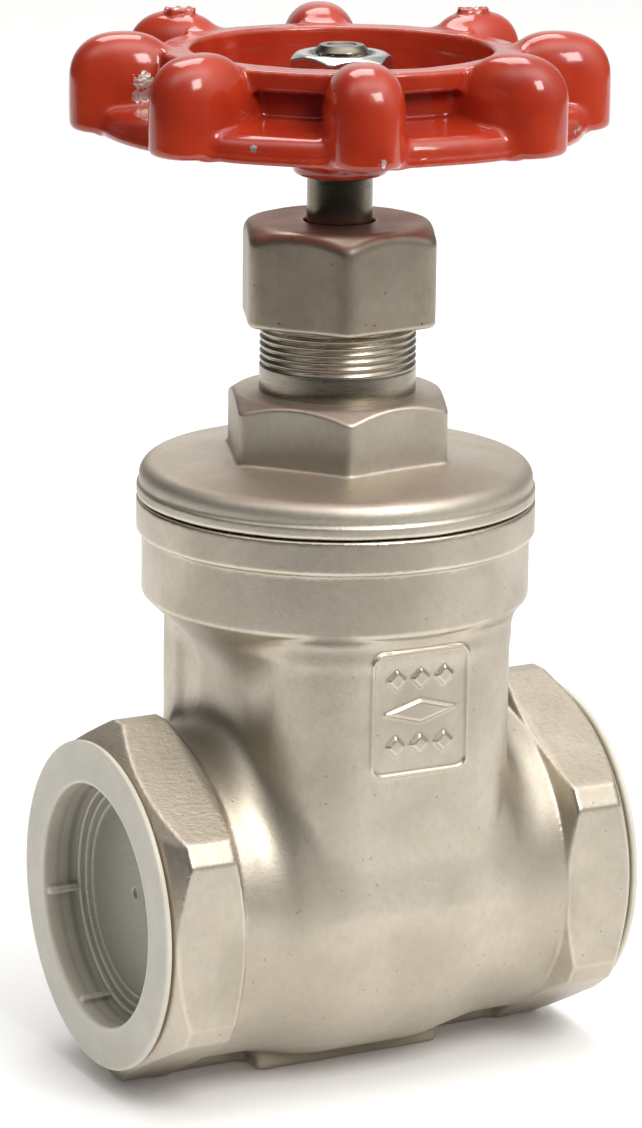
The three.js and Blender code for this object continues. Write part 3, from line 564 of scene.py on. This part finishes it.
def stem_radius(row, angles):
    """Radii round the stem at one row, which is (height, radius, kind of section)."""
    height, base, kind = row
    turn = angles / (2 * math.pi)
    if kind == SCREW:      # trapezoidal, left-hand
        wave = np.clip(tri(height / SCREW_LEAD + turn) * 2.2 - 0.6, 0, 1)
        strength = step((height - SCREW_BOTTOM) / 2) * step((SCREW_CUT_TOP - height) / 3)
        return base - SCREW_DEPTH * (1 - wave) * strength, height
    if kind == SQUARE:     # carries the handwheel
        flat = SQUARE_HALF / np.maximum(np.abs(np.cos(angles)), np.abs(np.sin(angles)))
        return np.minimum(base, flat), height
    if kind == TIP:        # M10 thread for the handwheel nut
        wave = tri(height / TIP_PITCH - turn)
        strength = step((height - TIP_THREAD_BOTTOM) / 1) * step((TIP_THREAD_TOP - height) / 0.6)
        return base - TIP_DEPTH * (1 - wave) * strength, height
    return base + 0 * angles, height


def make_stem():
    """The stem, from the foot of its screw to its M10 tip."""
    rows = [(*point, PLAIN) for point in STEM_FOOT]
    rows += [(z, SCREW_RADIUS, SCREW) for z in np.arange(SCREW_BOTTOM, SCREW_TOP, 0.4)]
    rows += [(*point, PLAIN) for point in STEM_COLLAR]
    rows += [(z, STEM_RADIUS, PLAIN) for z in np.arange(SHAFT_BOTTOM, SHAFT_TOP, 2.0)]
    rows += [(SHAFT_TOP, STEM_RADIUS, PLAIN)]
    rows += [(SQUARE_BOTTOM, STEM_RADIUS, SQUARE), (SQUARE_TOP, STEM_RADIUS, SQUARE)]
    rows += [(SQUARE_TOP_NECK, SQUARE_NECK_RADIUS, PLAIN)]
    rows += [(z, TIP_RADIUS, TIP) for z in np.arange(TIP_BOTTOM, TIP_TOP, 0.15)]
    rows += [(*point, PLAIN) for point in STEM_END]
    return turned_solid("stem_shaft", rows, stem_radius, 112, 30)


# ---- handwheel

def lobe_plan(x, y, count=LOBES, phase=LOBE_PHASE):
    """Distance out along the nearest spoke or lobe, and distance across it."""
    pitch = 2 * math.pi / count
    angle = np.arctan2(y, x) - math.radians(phase)
    angle = np.mod(angle + pitch / 2, pitch) - pitch / 2
    spin = length(x, y)
    return spin * np.cos(angle), spin * np.sin(angle)


def lobe_place(lobe, out, height, across):
    """The point at a distance out along a lobe and a distance across it."""
    angle = math.radians(LOBE_PHASE + 360.0 / LOBES * lobe)
    c, s = math.cos(angle), math.sin(angle)
    return out * c - across * s, out * s + across * c, height


NUBS = [lobe_place(*place) for place in NUB_PLACES]


def lobe_field(u, v, z):
    """A dome that stands on an upright column, with straight sides towards the rim."""
    a = np.abs((u - LOBE_MIDDLE) / LOBE_HALF_LENGTH)
    b = np.abs(v / LOBE_HALF_WIDTH)
    c = np.maximum(z - LOBE_SHOULDER, 0) / LOBE_RISE
    total = a ** LOBE_POWER + b ** LOBE_POWER + c ** LOBE_POWER + 1e-6
    dome = (total ** (1 / LOBE_POWER) - 1.0) * 6.2
    dome = np.where(u > 0, dome, 5.0)
    side = np.abs(v) - COLUMN_HALF_WIDTH - 0.7 * step((u - 31.0) / 4.0)
    column = smax(side, slab(u, COLUMN_INNER, COLUMN_OUTER), 1.2)
    column = smax(column, z - COLUMN_TOP, 3.0)
    return smax(smin(dome, column, 1.2), WHEEL_BOTTOM - z, 1.4)


def rim_field(spin, z):
    """The upright wall between the lobes, and the sloping flange outside it."""
    wall = smax(slab(spin, RIM_INNER, RIM_WALL_RADIUS), slab(z, WHEEL_BOTTOM, RIM_WALL_TOP), 0.9)
    band = smax(slab(spin, RIM_INNER, BAND_RADIUS), slab(z, BAND_BOTTOM, BAND_TOP), 0.8)
    top = (z - FLANGE_TOP + FLANGE_SLOPE * (spin - FLANGE_MIDDLE)) * 0.99
    flange = smax(smax(spin - FLANGE_RADIUS, top, 2.6), WHEEL_BOTTOM - z, 0.9)
    flange = smax(flange, RIM_INNER - spin, 0.8)
    lip_height = slab(z, WHEEL_BOTTOM, WHEEL_BOTTOM + WHEEL_LIP_HEIGHT)
    lip = smax(smax(spin - WHEEL_LIP_RADIUS, lip_height, 0.6), WHEEL_LIP_INNER - spin, 0.5)
    return smin(smin(wall, band, 0.4), smin(flange, lip, 0.3), 0.7)


def centre_field(x, y, z, spin):
    """The hub, its wider shoulder and the spokes that rise towards the rim."""
    s, t = lobe_plan(x, y, SPOKES, SPOKE_PHASE)
    middle = SPOKE_ROOT_HEIGHT + (s - SPOKE_ROOT) * SPOKE_SLOPE
    spoke = smax(np.abs(t) - SPOKE_HALF_WIDTH, np.abs(z - middle) - SPOKE_HALF_HEIGHT, 2.2)
    spoke = smax(spoke, slab(s, SPOKE_START, SPOKE_END), 0.5)
    hub = smax(spin - HUB_RADIUS, slab(z, HUB_BOTTOM, HUB_TOP), 1.3)
    shoulder = smax(spin - SHOULDER_RADIUS, slab(z, SHOULDER_BOTTOM, HUB_TOP), 1.6)
    return smin(smin(hub, shoulder, 1.6), spoke, 2.4)


def wheel_field(x, y, z):
    spin = length(x, y)
    u, v = lobe_plan(x, y)
    solid = smin(rim_field(spin, z), lobe_field(u, v, z), 1.3)
    solid = smin(solid, centre_field(x, y, z, spin), 2.4)
    for px, py, pz in NUBS:      # ragged gate stubs left on two lobes
        away = length(x - px, y - py) - NUB_RADIUS
        stub = smax(away, np.abs(z - pz) - NUB_HALF_HEIGHT, 0.4) - NUB_RAGGED * ripple(x, y, z, 1.1)
        solid = smin(solid, stub, 0.5)
    solid = solid + 0.06 * ripple(x, y, z, 6.0)
    flat = np.maximum(np.abs(x), np.abs(y)) - SQUARE_HOLE_HALF
    hole = np.maximum(flat, spin - STEM_RADIUS - SQUARE_HOLE_GAP)
    return smax(solid, -hole, 0.3)


def make_handwheel():
    grid = round_grid(47.6, 0.4, (123.4, 149.8, 0.4))
    spots = [(x, y, z + NUB_BARE_RISE, NUB_BARE) for x, y, z in NUBS]
    spots += [(*lobe_place(*place), radius) for *place, radius in CHIPS]
    return field_mesh("handwheel_casting", wheel_field, grid, spots)


def wheel_nut_field(x, y, z):
    spin = length(x, y)
    u, v = turned_plan(x, y, NUT_TURN)
    nut = hexagon(u, v, NUT_FLATS, NUT_CORNERS, 0.25)
    for past in (z - NUT_TOP, NUT_BOTTOM - z):
        nut = smax(nut, cone(spin - NUT_BEVEL_RADIUS, past, NUT_BEVEL), 0.2)
    nut = smax(nut, slab(z, NUT_BOTTOM, NUT_TOP), 0.2)
    hole = np.minimum(spin - NUT_HOLE_RADIUS, spin - NUT_MOUTH_RADIUS + np.maximum(NUT_TOP - z, 0))
    return smax(nut, -hole, 0.15)


def make_washer():
    """Flat ring under the handwheel nut, with rounded edges."""
    corners = [(NUT_HOLE_RADIUS, WASHER_BOTTOM), (WASHER_RADIUS, WASHER_BOTTOM),
               (WASHER_RADIUS, WASHER_TOP), (NUT_HOLE_RADIUS, WASHER_TOP)]
    rows = softened([corners[-1]] + corners + [corners[0]], 0.3)[1:-1]

    def radius(row, angles):
        return row[0] + 0 * angles, row[1]
    return turned_tube("handwheel_plain_washer", rows, radius, 96, 35)


# ---- dust caps

def cap_field(side):
    """Field of the dust cap on one side: -1 is the left end and 1 the right."""
    def field(x, y, z):
        ax = side * x
        pipe = length(y, z)
        flange = smax(pipe - CAP_FLANGE_RADIUS, slab(ax, END_FACE + CAP_SEAT_GAP, CAP_FACE), 0.5)
        back = CAP_FACE - CAP_DEPTH - CAP_WALL
        plug = smax(pipe - CAP_PLUG_RADIUS, slab(ax, back, CAP_FACE), 0.9)
        solid = smin(flange, plug, 0.4)
        floor = CAP_FACE - CAP_DEPTH
        cup = smax(pipe - CAP_PLUG_RADIUS + CAP_WALL, floor - ax, 0.8)
        solid = smax(solid, -cup, 0.5)
        for reach, rise in CAP_LEDGES:      # moulded steps round the floor
            ledge = smax(reach - pipe, pipe - CAP_PLUG_RADIUS + 0.4, 0.2)
            ledge = smax(ledge, slab(ax, floor - 0.5, floor + rise), 0.3)
            solid = smin(solid, ledge, 0.3)
        gate = length(y - CAP_GATE_Y, z - CAP_GATE_Z) - CAP_GATE_RADIUS
        gate = smax(gate, slab(ax, floor - 0.6, floor + 1.1), 0.4)
        solid = smax(solid, -gate, 0.3)
        for turn in CAP_TAB_TURNS:          # tabs along the wall of the cup
            along, across = turned_plan(y, z, turn)
            tab = smax(np.abs(across) - CAP_TAB_HALF_WIDTH, slab(along, CAP_TAB_INNER, CAP_TAB_OUTER), 0.3)
            tab = smax(tab, slab(ax, floor - 0.5, CAP_FACE - 0.7), 0.3)
            solid = smin(solid, tab, 0.3)
        return solid
    return field


def make_cap(name, side):
    low, high = 36.3, 46.9
    along = spaced((low, high, 0.3)) if side > 0 else spaced((-high, -low, 0.3))
    across = spaced((-29.6, 29.6, 0.36))
    return field_mesh(name, cap_field(side), (along, across, across))


# ---- materials

class Surface:
    """A material whose nodes are added one after another. Sizes are given in millimetres."""

    def __init__(self, name):
        self.material = bpy.data.materials.new(name)
        self.material.use_nodes = True
        self.nodes = self.material.node_tree.nodes
        self.links = self.material.node_tree.links
        self.shader = self.nodes["Principled BSDF"]
        self.place = self.nodes.new("ShaderNodeTexCoord").outputs["Object"]

    def put(self, node, socket, value):
        slot = node.inputs[socket]
        if isinstance(value, bpy.types.NodeSocket):
            self.links.new(value, slot)
        elif isinstance(value, (tuple, list)) and slot.type == "RGBA" and len(value) == 3:
            slot.default_value = (*value, 1.0)
        else:
            slot.default_value = value

    def add(self, kind, inputs=None, **settings):
        node = self.nodes.new("ShaderNode" + kind)
        for key, value in settings.items():
            setattr(node, key, value)
        for socket, value in (inputs or {}).items():
            self.put(node, socket, value)
        return node

    def set(self, **inputs):
        for socket, value in inputs.items():
            self.put(self.shader, socket.replace("_", " "), value)

    def stretched(self, scale):
        return self.add("Mapping", {"Vector": self.place, "Scale": scale}).outputs["Vector"]

    def noise(self, size, detail=2.0, rough=0.5, place=None, distortion=0.0):
        return self.add("TexNoise", {
            "Vector": place or self.place, "Scale": 1.0 / (size * MM), "Detail": detail,
            "Roughness": rough, "Distortion": distortion}).outputs["Fac"]

    def cells(self, size):
        return self.add("TexVoronoi", {"Vector": self.place, "Scale": 1.0 / (size * MM)}).outputs["Distance"]

    def ramp(self, value, low, high, to_low=0.0, to_high=1.0, smooth=False):
        return self.add("MapRange", {0: value, 1: low, 2: high, 3: to_low, 4: to_high},
                        interpolation_type="SMOOTHSTEP" if smooth else "LINEAR").outputs[0]

    def math(self, operation, a, b=0.0):
        return self.add("Math", {0: a, 1: b}, operation=operation).outputs[0]

    def times(self, a, b):
        return self.math("MULTIPLY", a, b)

    def mix(self, share, a, b):
        node = self.add("Mix", data_type="RGBA")
        for socket, value in zip((node.inputs[0], node.inputs[6], node.inputs[7]), (share, a, b)):
            if isinstance(value, bpy.types.NodeSocket):
                self.links.new(value, socket)
            elif isinstance(value, (tuple, list)):
                socket.default_value = (*value, 1.0)
            else:
                socket.default_value = value
        return node.outputs[2]

    def bump(self, height, depth, strength=1.0, below=None):
        inputs = {"Height": height, "Distance": depth * MM, "Strength": strength}
        if below is not None:
            inputs["Normal"] = below
        return self.add("Bump", inputs).outputs["Normal"]

    def attribute(self, name):
        return self.add("Attribute", attribute_name=name).outputs["Fac"]


def darker(colour, share):
    return tuple(share * c for c in colour)


def cast_steel(name, light, dark, roughness, depth=0.028, pits=0.5, rough_ends=False):
    """Bead-blasted stainless casting: fine grain, slow stains, small pits and rubbed edges."""
    s = Surface(name)
    stain = s.ramp(s.noise(16.0, 3.0), 0.35, 0.68, smooth=True)
    streak = s.noise(1.3, 4.0, 0.65, s.stretched((1.0, 1.0, 0.8)))
    colour = s.mix(stain, light, dark)
    colour = s.mix(s.ramp(streak, 0.4, 0.75, 0.0, 0.28), colour, darker(dark, 0.72))
    hole = s.ramp(s.cells(2.3), 0.05, 0.13, 1.0, 0.0)
    some = s.ramp(s.noise(3.1, 0.0), 0.52, 0.60)
    hole = s.times(s.times(hole, some), pits)
    colour = s.mix(hole, colour, darker(dark, 0.35))
    fine = s.noise(0.5, 3.0, 0.6)
    uneven = s.math("ADD", fine, s.times(stain, 0.35))
    rough = s.ramp(uneven, 0.3, 1.1, roughness - 0.06, roughness + 0.08)
    edge = s.ramp(s.attribute("curve"), 0.25, 1.3)
    colour = s.mix(s.times(edge, 0.45), colour, tuple(min(1.0, 1.22 * c) for c in light))
    rough = s.math("SUBTRACT", rough, s.times(edge, 0.10))
    normal = s.bump(s.noise(3.5, 2.0), 0.05, 0.5)
    if rough_ends:      # the upper flats of the pipe ends keep a coarse, wavy casting skin
        parts = s.add("SeparateXYZ", {0: s.place}).outputs
        outside = s.ramp(s.math("ABSOLUTE", parts[0]), 0.0325, 0.0335)
        above = s.ramp(parts[2], (PIPE_HEIGHT + 17.4) * MM, (PIPE_HEIGHT + 18.6) * MM)
        under = s.ramp(parts[2], (PIPE_HEIGHT + 36.0) * MM, (PIPE_HEIGHT + 35.0) * MM)
        skin = s.times(s.times(outside, above), under)
        rough = s.math("ADD", rough, s.times(skin, 0.2))
        waves = s.noise(0.9, 3.0, 0.55, s.stretched((0.7, 1.0, 1.6)), distortion=0.6)
        normal = s.bump(s.times(waves, skin), 0.22, 0.9, normal)
    normal = s.bump(fine, depth, 1.0, normal)
    normal = s.bump(s.math("SUBTRACT", 1.0, hole), 0.06, 0.7, normal)
    s.set(Base_Color=colour, Roughness=rough, Normal=normal, Metallic=1.0)
    return s.material


def turned_steel(name, light, dark, roughness, along=2, pitch=0.18, depth=0.004):
    """Machined stainless with fine turning lines round one axis."""
    s = Surface(name)
    scale = [0.06, 0.06, 0.06]
    scale[along] = 1.0
    lines = s.noise(pitch, 2.0, 0.7, s.stretched(tuple(scale)))
    smear = s.ramp(s.noise(4.0, 3.0), 0.35, 0.7)
    colour = s.mix(s.ramp(lines, 0.3, 0.7, 0.0, 0.5), light, dark)
    colour = s.mix(s.times(smear, 0.3), colour, darker(dark, 0.8))
    rough = s.ramp(lines, 0.3, 0.7, roughness - 0.04, roughness + 0.07)
    normal = s.bump(lines, depth, 1.0, s.bump(s.noise(1.1, 2.0), 0.004, 0.6))
    s.set(Base_Color=colour, Roughness=rough, Normal=normal, Metallic=1.0)
    return s.material


def red_paint(name):
    """Glossy dipped paint: slight orange peel, painted shade in its hollows, thin and greyish on sharp edges,
    bare where it chipped.
    """
    s = Surface(name)
    patch = s.ramp(s.noise(11.0, 2.0), 0.35, 0.65, smooth=True)
    colour = s.mix(patch, (0.46, 0.040, 0.013), (0.37, 0.027, 0.010))
    curve = s.attribute("curve")
    # painted shade: the paint is painted darker where the surface curves inwards, in hollows and creases
    hollow_shade = s.ramp(curve, -1.4, -0.2, 0.55, 0.0)
    colour = s.mix(hollow_shade, colour, (0.26, 0.014, 0.008))
    worn = s.times(s.ramp(curve, 0.55, 1.25), s.ramp(s.noise(1.3, 3.0), 0.46, 0.62))
    colour = s.mix(s.times(worn, 0.35), colour, (0.42, 0.13, 0.09))
    spot = s.attribute("bare")
    flake = s.math("ADD", spot, s.ramp(s.noise(0.9, 4.0, 0.65), 0.25, 0.75, -0.45, 0.45))
    bare = s.times(s.ramp(flake, 0.46, 0.52), s.ramp(spot, 0.02, 0.08))
    metal = s.mix(s.noise(0.7, 3.0), (0.50, 0.47, 0.42), (0.78, 0.76, 0.72))
    colour = s.mix(bare, colour, metal)
    peel = s.bump(s.noise(1.7, 1.0), 0.012, 0.8, s.bump(s.noise(5.0, 1.0), 0.05, 0.6))
    chipped = s.bump(s.math("SUBTRACT", 1.0, bare), 0.12, 0.9, peel)
    grit = s.bump(s.times(bare, s.noise(0.5, 3.0)), 0.15, 0.8, chipped)
    rough = s.math("ADD", s.ramp(s.noise(2.4, 3.0), 0.3, 0.75, 0.13, 0.24), s.times(bare, 0.22))
    s.set(Base_Color=colour, Roughness=rough, Normal=grit, Metallic=s.times(bare, 0.9),
          Coat_Weight=0.35)
    s.shader.inputs["Coat Roughness"].default_value = 0.06
    return s.material


# radians per metre: fine moulding rings on the cup's floor, and the painted shade of the pipe thread behind
# its wall
CUP_RINGS, CUP_THREAD = 3600.0, 2721.0


def moulded_plastic(name, colour, shade, roughness, milk, depth=3.0, cup=False):
    """Milky moulded polyethylene or PTFE, slightly cloudy."""
    s = Surface(name)
    cloud = s.ramp(s.noise(7.0, 3.0), 0.3, 0.7, smooth=True)
    scuff = s.ramp(s.noise(0.8, 4.0, 0.7, s.stretched((0.2, 1.0, 1.0))), 0.55, 0.72)
    base = s.mix(cloud, colour, shade)
    base = s.mix(s.times(scuff, 0.18), base, darker(shade, 0.75))
    rough = s.ramp(s.noise(1.5, 3.0), 0.3, 0.7, roughness - 0.06, roughness + 0.08)
    normal = s.bump(s.noise(0.6, 3.0), 0.006, 0.8, s.bump(s.noise(6.0, 1.0), 0.06, 0.6))
    if cup:      # painted shade: the thin cup is painted darker with depth, and darker over the pipe thread behind its wall, for the shade of the recess and of the bore behind it
        parts = s.add("SeparateXYZ", {0: s.place}).outputs
        down = s.ramp(s.math("ABSOLUTE", parts[0]), 0.0458, 0.0384)
        level = s.math("SUBTRACT", parts[2], PIPE_HEIGHT * MM)
        squares = s.math("ADD", s.times(parts[1], parts[1]), s.times(level, level))
        out = s.math("SQRT", squares)
        rings = s.math("SINE", s.times(out, CUP_RINGS))
        # painted shade, darker towards the cup's floor
        base = s.mix(s.ramp(down, 0.02, 1.0, 0.12, 0.82), base, (0.20, 0.19, 0.155))
        lines = s.times(s.ramp(rings, 0.75, 1.0), s.ramp(down, 0.3, 0.6))
        base = s.mix(s.times(lines, 0.06), base, colour)
        # painted shade of the pipe thread behind the wall
        thread = s.math("SINE", s.times(parts[0], CUP_THREAD))
        wall = s.times(s.ramp(out, 0.0188, 0.0205), s.ramp(down, 0.15, 0.5))
        groove = s.times(s.ramp(thread, -0.2, 0.9), wall)
        base = s.mix(s.times(groove, 0.42), base, (0.16, 0.125, 0.085))
        # sharp edges keep the light colour, out of the painted shade
        edge = s.ramp(s.attribute("curve"), 0.5, 1.4)
        base = s.mix(s.times(edge, 0.5), base, colour)
        normal = s.bump(rings, 0.01, 0.12, normal)
    s.set(Base_Color=base, Roughness=rough, Normal=normal)
    s.shader.inputs["Subsurface Weight"].default_value = milk
    s.shader.inputs["Subsurface Scale"].default_value = depth * MM
    s.shader.inputs["Subsurface Radius"].default_value = (1.0, 1.0, 0.9)
    return s.material


# each material has a light and a dark shade of its colour, and a roughness
BODY_STEEL = cast_steel(
    "blasted_cast_steel", (0.555, 0.50, 0.415), (0.48, 0.43, 0.352), 0.43, rough_ends=True)
BONNET_STEEL = cast_steel(
    "blasted_bonnet_steel", (0.61, 0.56, 0.475), (0.53, 0.48, 0.40), 0.52)
# painted shade: the gland nut's steel is given a darker colour than the body's, standing in for the dark room
# its facets mirror
GLAND_STEEL = cast_steel(
    "shaded_gland_steel", (0.42, 0.365, 0.295), (0.325, 0.275, 0.215), 0.45, depth=0.015, pits=0.9)
THREAD_STEEL = turned_steel(
    "bright_thread_steel", (0.36, 0.325, 0.265), (0.29, 0.255, 0.20), 0.28)
# painted shade: the stem's steel is given a far darker colour than polished steel has, standing in for the
# dark room it mirrors
STEM_STEEL = turned_steel(
    "polished_stem_steel", (0.22, 0.195, 0.15), (0.17, 0.15, 0.115), 0.20, pitch=0.35)
PLATED = turned_steel(
    "plated_nut_steel", (0.74, 0.74, 0.71), (0.62, 0.62, 0.58), 0.20, pitch=0.9, depth=0.006)
WEDGE_STEEL = turned_steel(
    "turned_wedge_steel", (0.62, 0.59, 0.53), (0.52, 0.49, 0.43), 0.26, along=0, depth=0.001)
PAINT = red_paint("orange_red_paint")
CAP_PLASTIC = moulded_plastic(
    "milky_cap_plastic", (0.65, 0.62, 0.535), (0.59, 0.56, 0.47), 0.34, 0.35, cup=True)
PTFE = moulded_plastic(
    "white_ptfe", (0.86, 0.85, 0.82), (0.78, 0.77, 0.73), 0.5, 0.2, 1.0)


def finish_piece(piece, material, body, slot, *nodes):
    """Gives a piece its material and body, and names the CAD nodes whose place it takes. The slot is not
    used.
    """
    piece.data.materials.clear()
    piece.data.materials.append(material)
    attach(piece, body)
    if nodes:
        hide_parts(*nodes)


# ---- pieces

finish_piece(make_body(), BODY_STEEL, "valve_body", "cast_steel", "body")

bonnet_grid = round_grid(35.4, 0.42, (57.2, 67.8, 0.5), (67.8, 88.0, 0.36))
bonnet_cover = field_mesh("bonnet_cover", bonnet_field, bonnet_grid)
finish_piece(bonnet_cover, BONNET_STEEL, "valve_body", "cast_steel", "bonnet")
finish_piece(make_bonnet_neck(), THREAD_STEEL, "valve_body", "cast_steel")

gland_nut = field_mesh("gland_nut_casting", gland_field, round_grid(19.6, 0.32, (98.4, 117.3, 0.32)))
finish_piece(gland_nut, GLAND_STEEL, "valve_body", "gland_steel", "gland_nut")

finish_piece(make_stem(), STEM_STEEL, "spindle", "bright_steel", "stem")
finish_piece(make_handwheel(), PAINT, "spindle", "red_paint", "handwheel")

wheel_nut = field_mesh("handwheel_hex_nut", wheel_nut_field, round_grid(9.9, 0.2, (136.0, 145.8, 0.2)))
finish_piece(wheel_nut, PLATED, "spindle", "bright_steel", "handwheel_nut")
finish_piece(make_washer(), PLATED, "spindle", "bright_steel", "handwheel_washer")

finish_piece(make_cap("dust_cap_left", -1), CAP_PLASTIC, "cap_left", "white_plastic", "port_cap_left")
finish_piece(make_cap("dust_cap_right", 1), CAP_PLASTIC, "cap_right", "white_plastic", "port_cap_right")

# the nodes that are hidden inside keep their CAD shape, and only take a material
HIDDEN = (
    (WEDGE_STEEL, ("wedge", "stem_retaining_bush", "packing_washer", "gland_follower")),
    (PTFE, ("bonnet_gasket", "thrust_washer_lower", "thrust_washer_upper",
            "packing_ring_1", "packing_ring_2", "packing_ring_3", "packing_ring_4")))
for material, nodes in HIDDEN:
    for node in nodes:
        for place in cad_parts[node].material_slots:
            place.material = material


# ---- stage, light and camera

PAPER_RADIUS, PAPER_CENTRE, PAPER_GLOW = 1.35, (0.45, 0.95), 0.04
PAPER_RINGS, PAPER_SEGMENTS = (0.06, 0.2, 0.5, 1.0), 128
VALVE_MIDDLE = (0, 0, 0.09)

# soft glows of the room: azimuth, elevation, tightness, strength
ROOM_GLOWS = (
    (20, 61, 5.0, 0.6),
    (60, 20, 9.0, 0.45),
    (50, 60, 14.0, 1.8),
    (-30, 77, 18.0, 1.9),
    (40, 35, 14.0, 0.5),
    (152, 15, 9.0, 0.8),
    (-95, 55, 22.0, 1.5),
    (-88, 55, 9.0, 0.05),
    (105, 62, 9.0, 0.5),
    (0, 90, 0.2, 0.05))
GLOW_COLOUR = (1.0, 0.99, 0.975, 1)

# the photograph's camera: 28 degrees round to the left, looking down, tilted by under a degree
CAMERA_PLACE, CAMERA_LENS = (-0.36364, -0.67964, 0.28749), 146.27
CAMERA_AZIMUTH, CAMERA_ELEVATION, CAMERA_ROLL = 27.9704, 14.499, 0.7235


def make_floor():
    """A round sheet of pale paper, most of it behind the valve. Its front edge is just out of the picture."""
    around = PAPER_SEGMENTS
    turns = [2 * math.pi * n / around for n in range(around)]
    points = [(0.0, 0.0, 0.0)]
    for share in PAPER_RINGS:
        reach, right, back = share * PAPER_RADIUS, share * PAPER_CENTRE[0], share * PAPER_CENTRE[1]
        points += [(reach * math.cos(turn) + right, reach * math.sin(turn) + back, 0.0) for turn in turns]
    faces = [(0, 1 + n, 1 + (n + 1) % around) for n in range(around)]
    for ring in range(len(PAPER_RINGS) - 1):
        a, b = 1 + ring * around, 1 + (ring + 1) * around
        faces += [(a + n, b + n, b + (n + 1) % around, a + (n + 1) % around) for n in range(around)]
    mesh = bpy.data.meshes.new("floor")
    mesh.from_pydata(points, [], faces)
    mesh.shade_smooth()
    floor = bpy.data.objects.new("floor", mesh)
    bpy.context.scene.collection.objects.link(floor)
    s = Surface("pale_paper")
    fibre = s.noise(0.8, 4.0)
    s.set(Base_Color=s.mix(fibre, (0.95, 0.95, 0.95), (0.92, 0.92, 0.92)), Roughness=0.85,
          Normal=s.bump(fibre, 0.01))
    s.shader.inputs["Emission Color"].default_value = (1, 1, 1, 1)
    s.shader.inputs["Emission Strength"].default_value = PAPER_GLOW
    mesh.materials.append(s.material)


def direction(azimuth, elevation):
    """Unit vector towards a place in the room. Azimuth 0 is in front (-Y) and 90 is on the right (+X)."""
    a, e = math.radians(azimuth), math.radians(elevation)
    return math.sin(a) * math.cos(e), -math.cos(a) * math.cos(e), math.sin(e)


def softbox(name, azimuth, elevation, distance, width, height, power, colour=(1.0, 1.0, 1.0)):
    """Rectangular area light aimed at the middle of the valve."""
    light = bpy.data.lights.new(name, "AREA")
    light.shape, light.size, light.size_y = "RECTANGLE", width, height
    light.energy, light.color = power, colour
    lamp = bpy.data.objects.new(name, light)
    lamp.location = Vector(VALVE_MIDDLE) + distance * Vector(direction(azimuth, elevation))
    lamp.rotation_mode = "QUATERNION"
    lamp.rotation_quaternion = (Vector(VALVE_MIDDLE) - lamp.location).to_track_quat("-Z", "Y")
    bpy.context.scene.collection.objects.link(lamp)


def make_world():
    """White where the camera sees it; the valve is lit by, and mirrors, the soft glows instead."""
    world = bpy.data.worlds.new("studio")
    bpy.context.scene.world = world
    world.use_nodes = True
    nodes, links = world.node_tree.nodes, world.node_tree.links
    nodes.clear()
    out = nodes.new("ShaderNodeOutputWorld")
    mix = nodes.new("ShaderNodeMixShader")
    path = nodes.new("ShaderNodeLightPath")
    seen = nodes.new("ShaderNodeBackground")
    seen.inputs["Color"].default_value = (1, 1, 1, 1)
    seen.inputs["Strength"].default_value = 1.0
    studio = nodes.new("ShaderNodeBackground")
    place = nodes.new("ShaderNodeTexCoord").outputs["Generated"]
    total = None
    for azimuth, elevation, tightness, strength in ROOM_GLOWS:
        near = nodes.new("ShaderNodeVectorMath")
        near.operation = "DOT_PRODUCT"
        near.inputs[1].default_value = direction(azimuth, elevation)
        links.new(place, near.inputs[0])
        fall = nodes.new("ShaderNodeMath")
        fall.operation = "MULTIPLY_ADD"
        fall.inputs[1].default_value = tightness
        fall.inputs[2].default_value = math.log(strength) - tightness
        links.new(near.outputs["Value"], fall.inputs[0])
        glow = nodes.new("ShaderNodeMath")
        glow.operation = "EXPONENT"
        links.new(fall.outputs[0], glow.inputs[0])
        if total is None:
            total = glow.outputs[0]
        else:
            both = nodes.new("ShaderNodeMath")
            links.new(total, both.inputs[0])
            links.new(glow.outputs[0], both.inputs[1])
            total = both.outputs[0]
    studio.inputs["Color"].default_value = GLOW_COLOUR
    links.new(total, studio.inputs["Strength"])
    links.new(path.outputs["Is Camera Ray"], mix.inputs["Fac"])
    links.new(studio.outputs[0], mix.inputs[1])
    links.new(seen.outputs[0], mix.inputs[2])
    links.new(mix.outputs[0], out.inputs["Surface"])


def make_camera():
    azimuth, roll = math.radians(CAMERA_AZIMUTH), math.radians(CAMERA_ROLL)
    back = Vector(direction(-CAMERA_AZIMUTH, CAMERA_ELEVATION))
    level = Vector((math.cos(azimuth), -math.sin(azimuth), 0))
    upward = level.cross(-back)
    right = math.cos(roll) * level + math.sin(roll) * upward
    up = -math.sin(roll) * level + math.cos(roll) * upward
    data = bpy.data.cameras.new("camera")
    data.sensor_fit, data.sensor_width, data.lens = "AUTO", 36.0, CAMERA_LENS
    data.clip_start, data.clip_end = 0.05, 20.0
    camera = bpy.data.objects.new("camera", data)
    turn = Matrix((right, up, back)).transposed()
    camera.matrix_world = Matrix.Translation(CAMERA_PLACE) @ turn.to_4x4()
    bpy.context.scene.collection.objects.link(camera)
    bpy.context.scene.camera = camera


make_floor()
make_world()
softbox("key_softbox", 7.0, 42.0, 1.0, 0.37, 0.37, 5.0, (1.0, 0.985, 0.96))
softbox("back_softbox", 165.0, 58.0, 1.1, 0.6, 0.5, 4.4)
make_camera()
bpy.context.scene.view_settings.view_transform = "Standard"

bpy.context.view_layer.update()
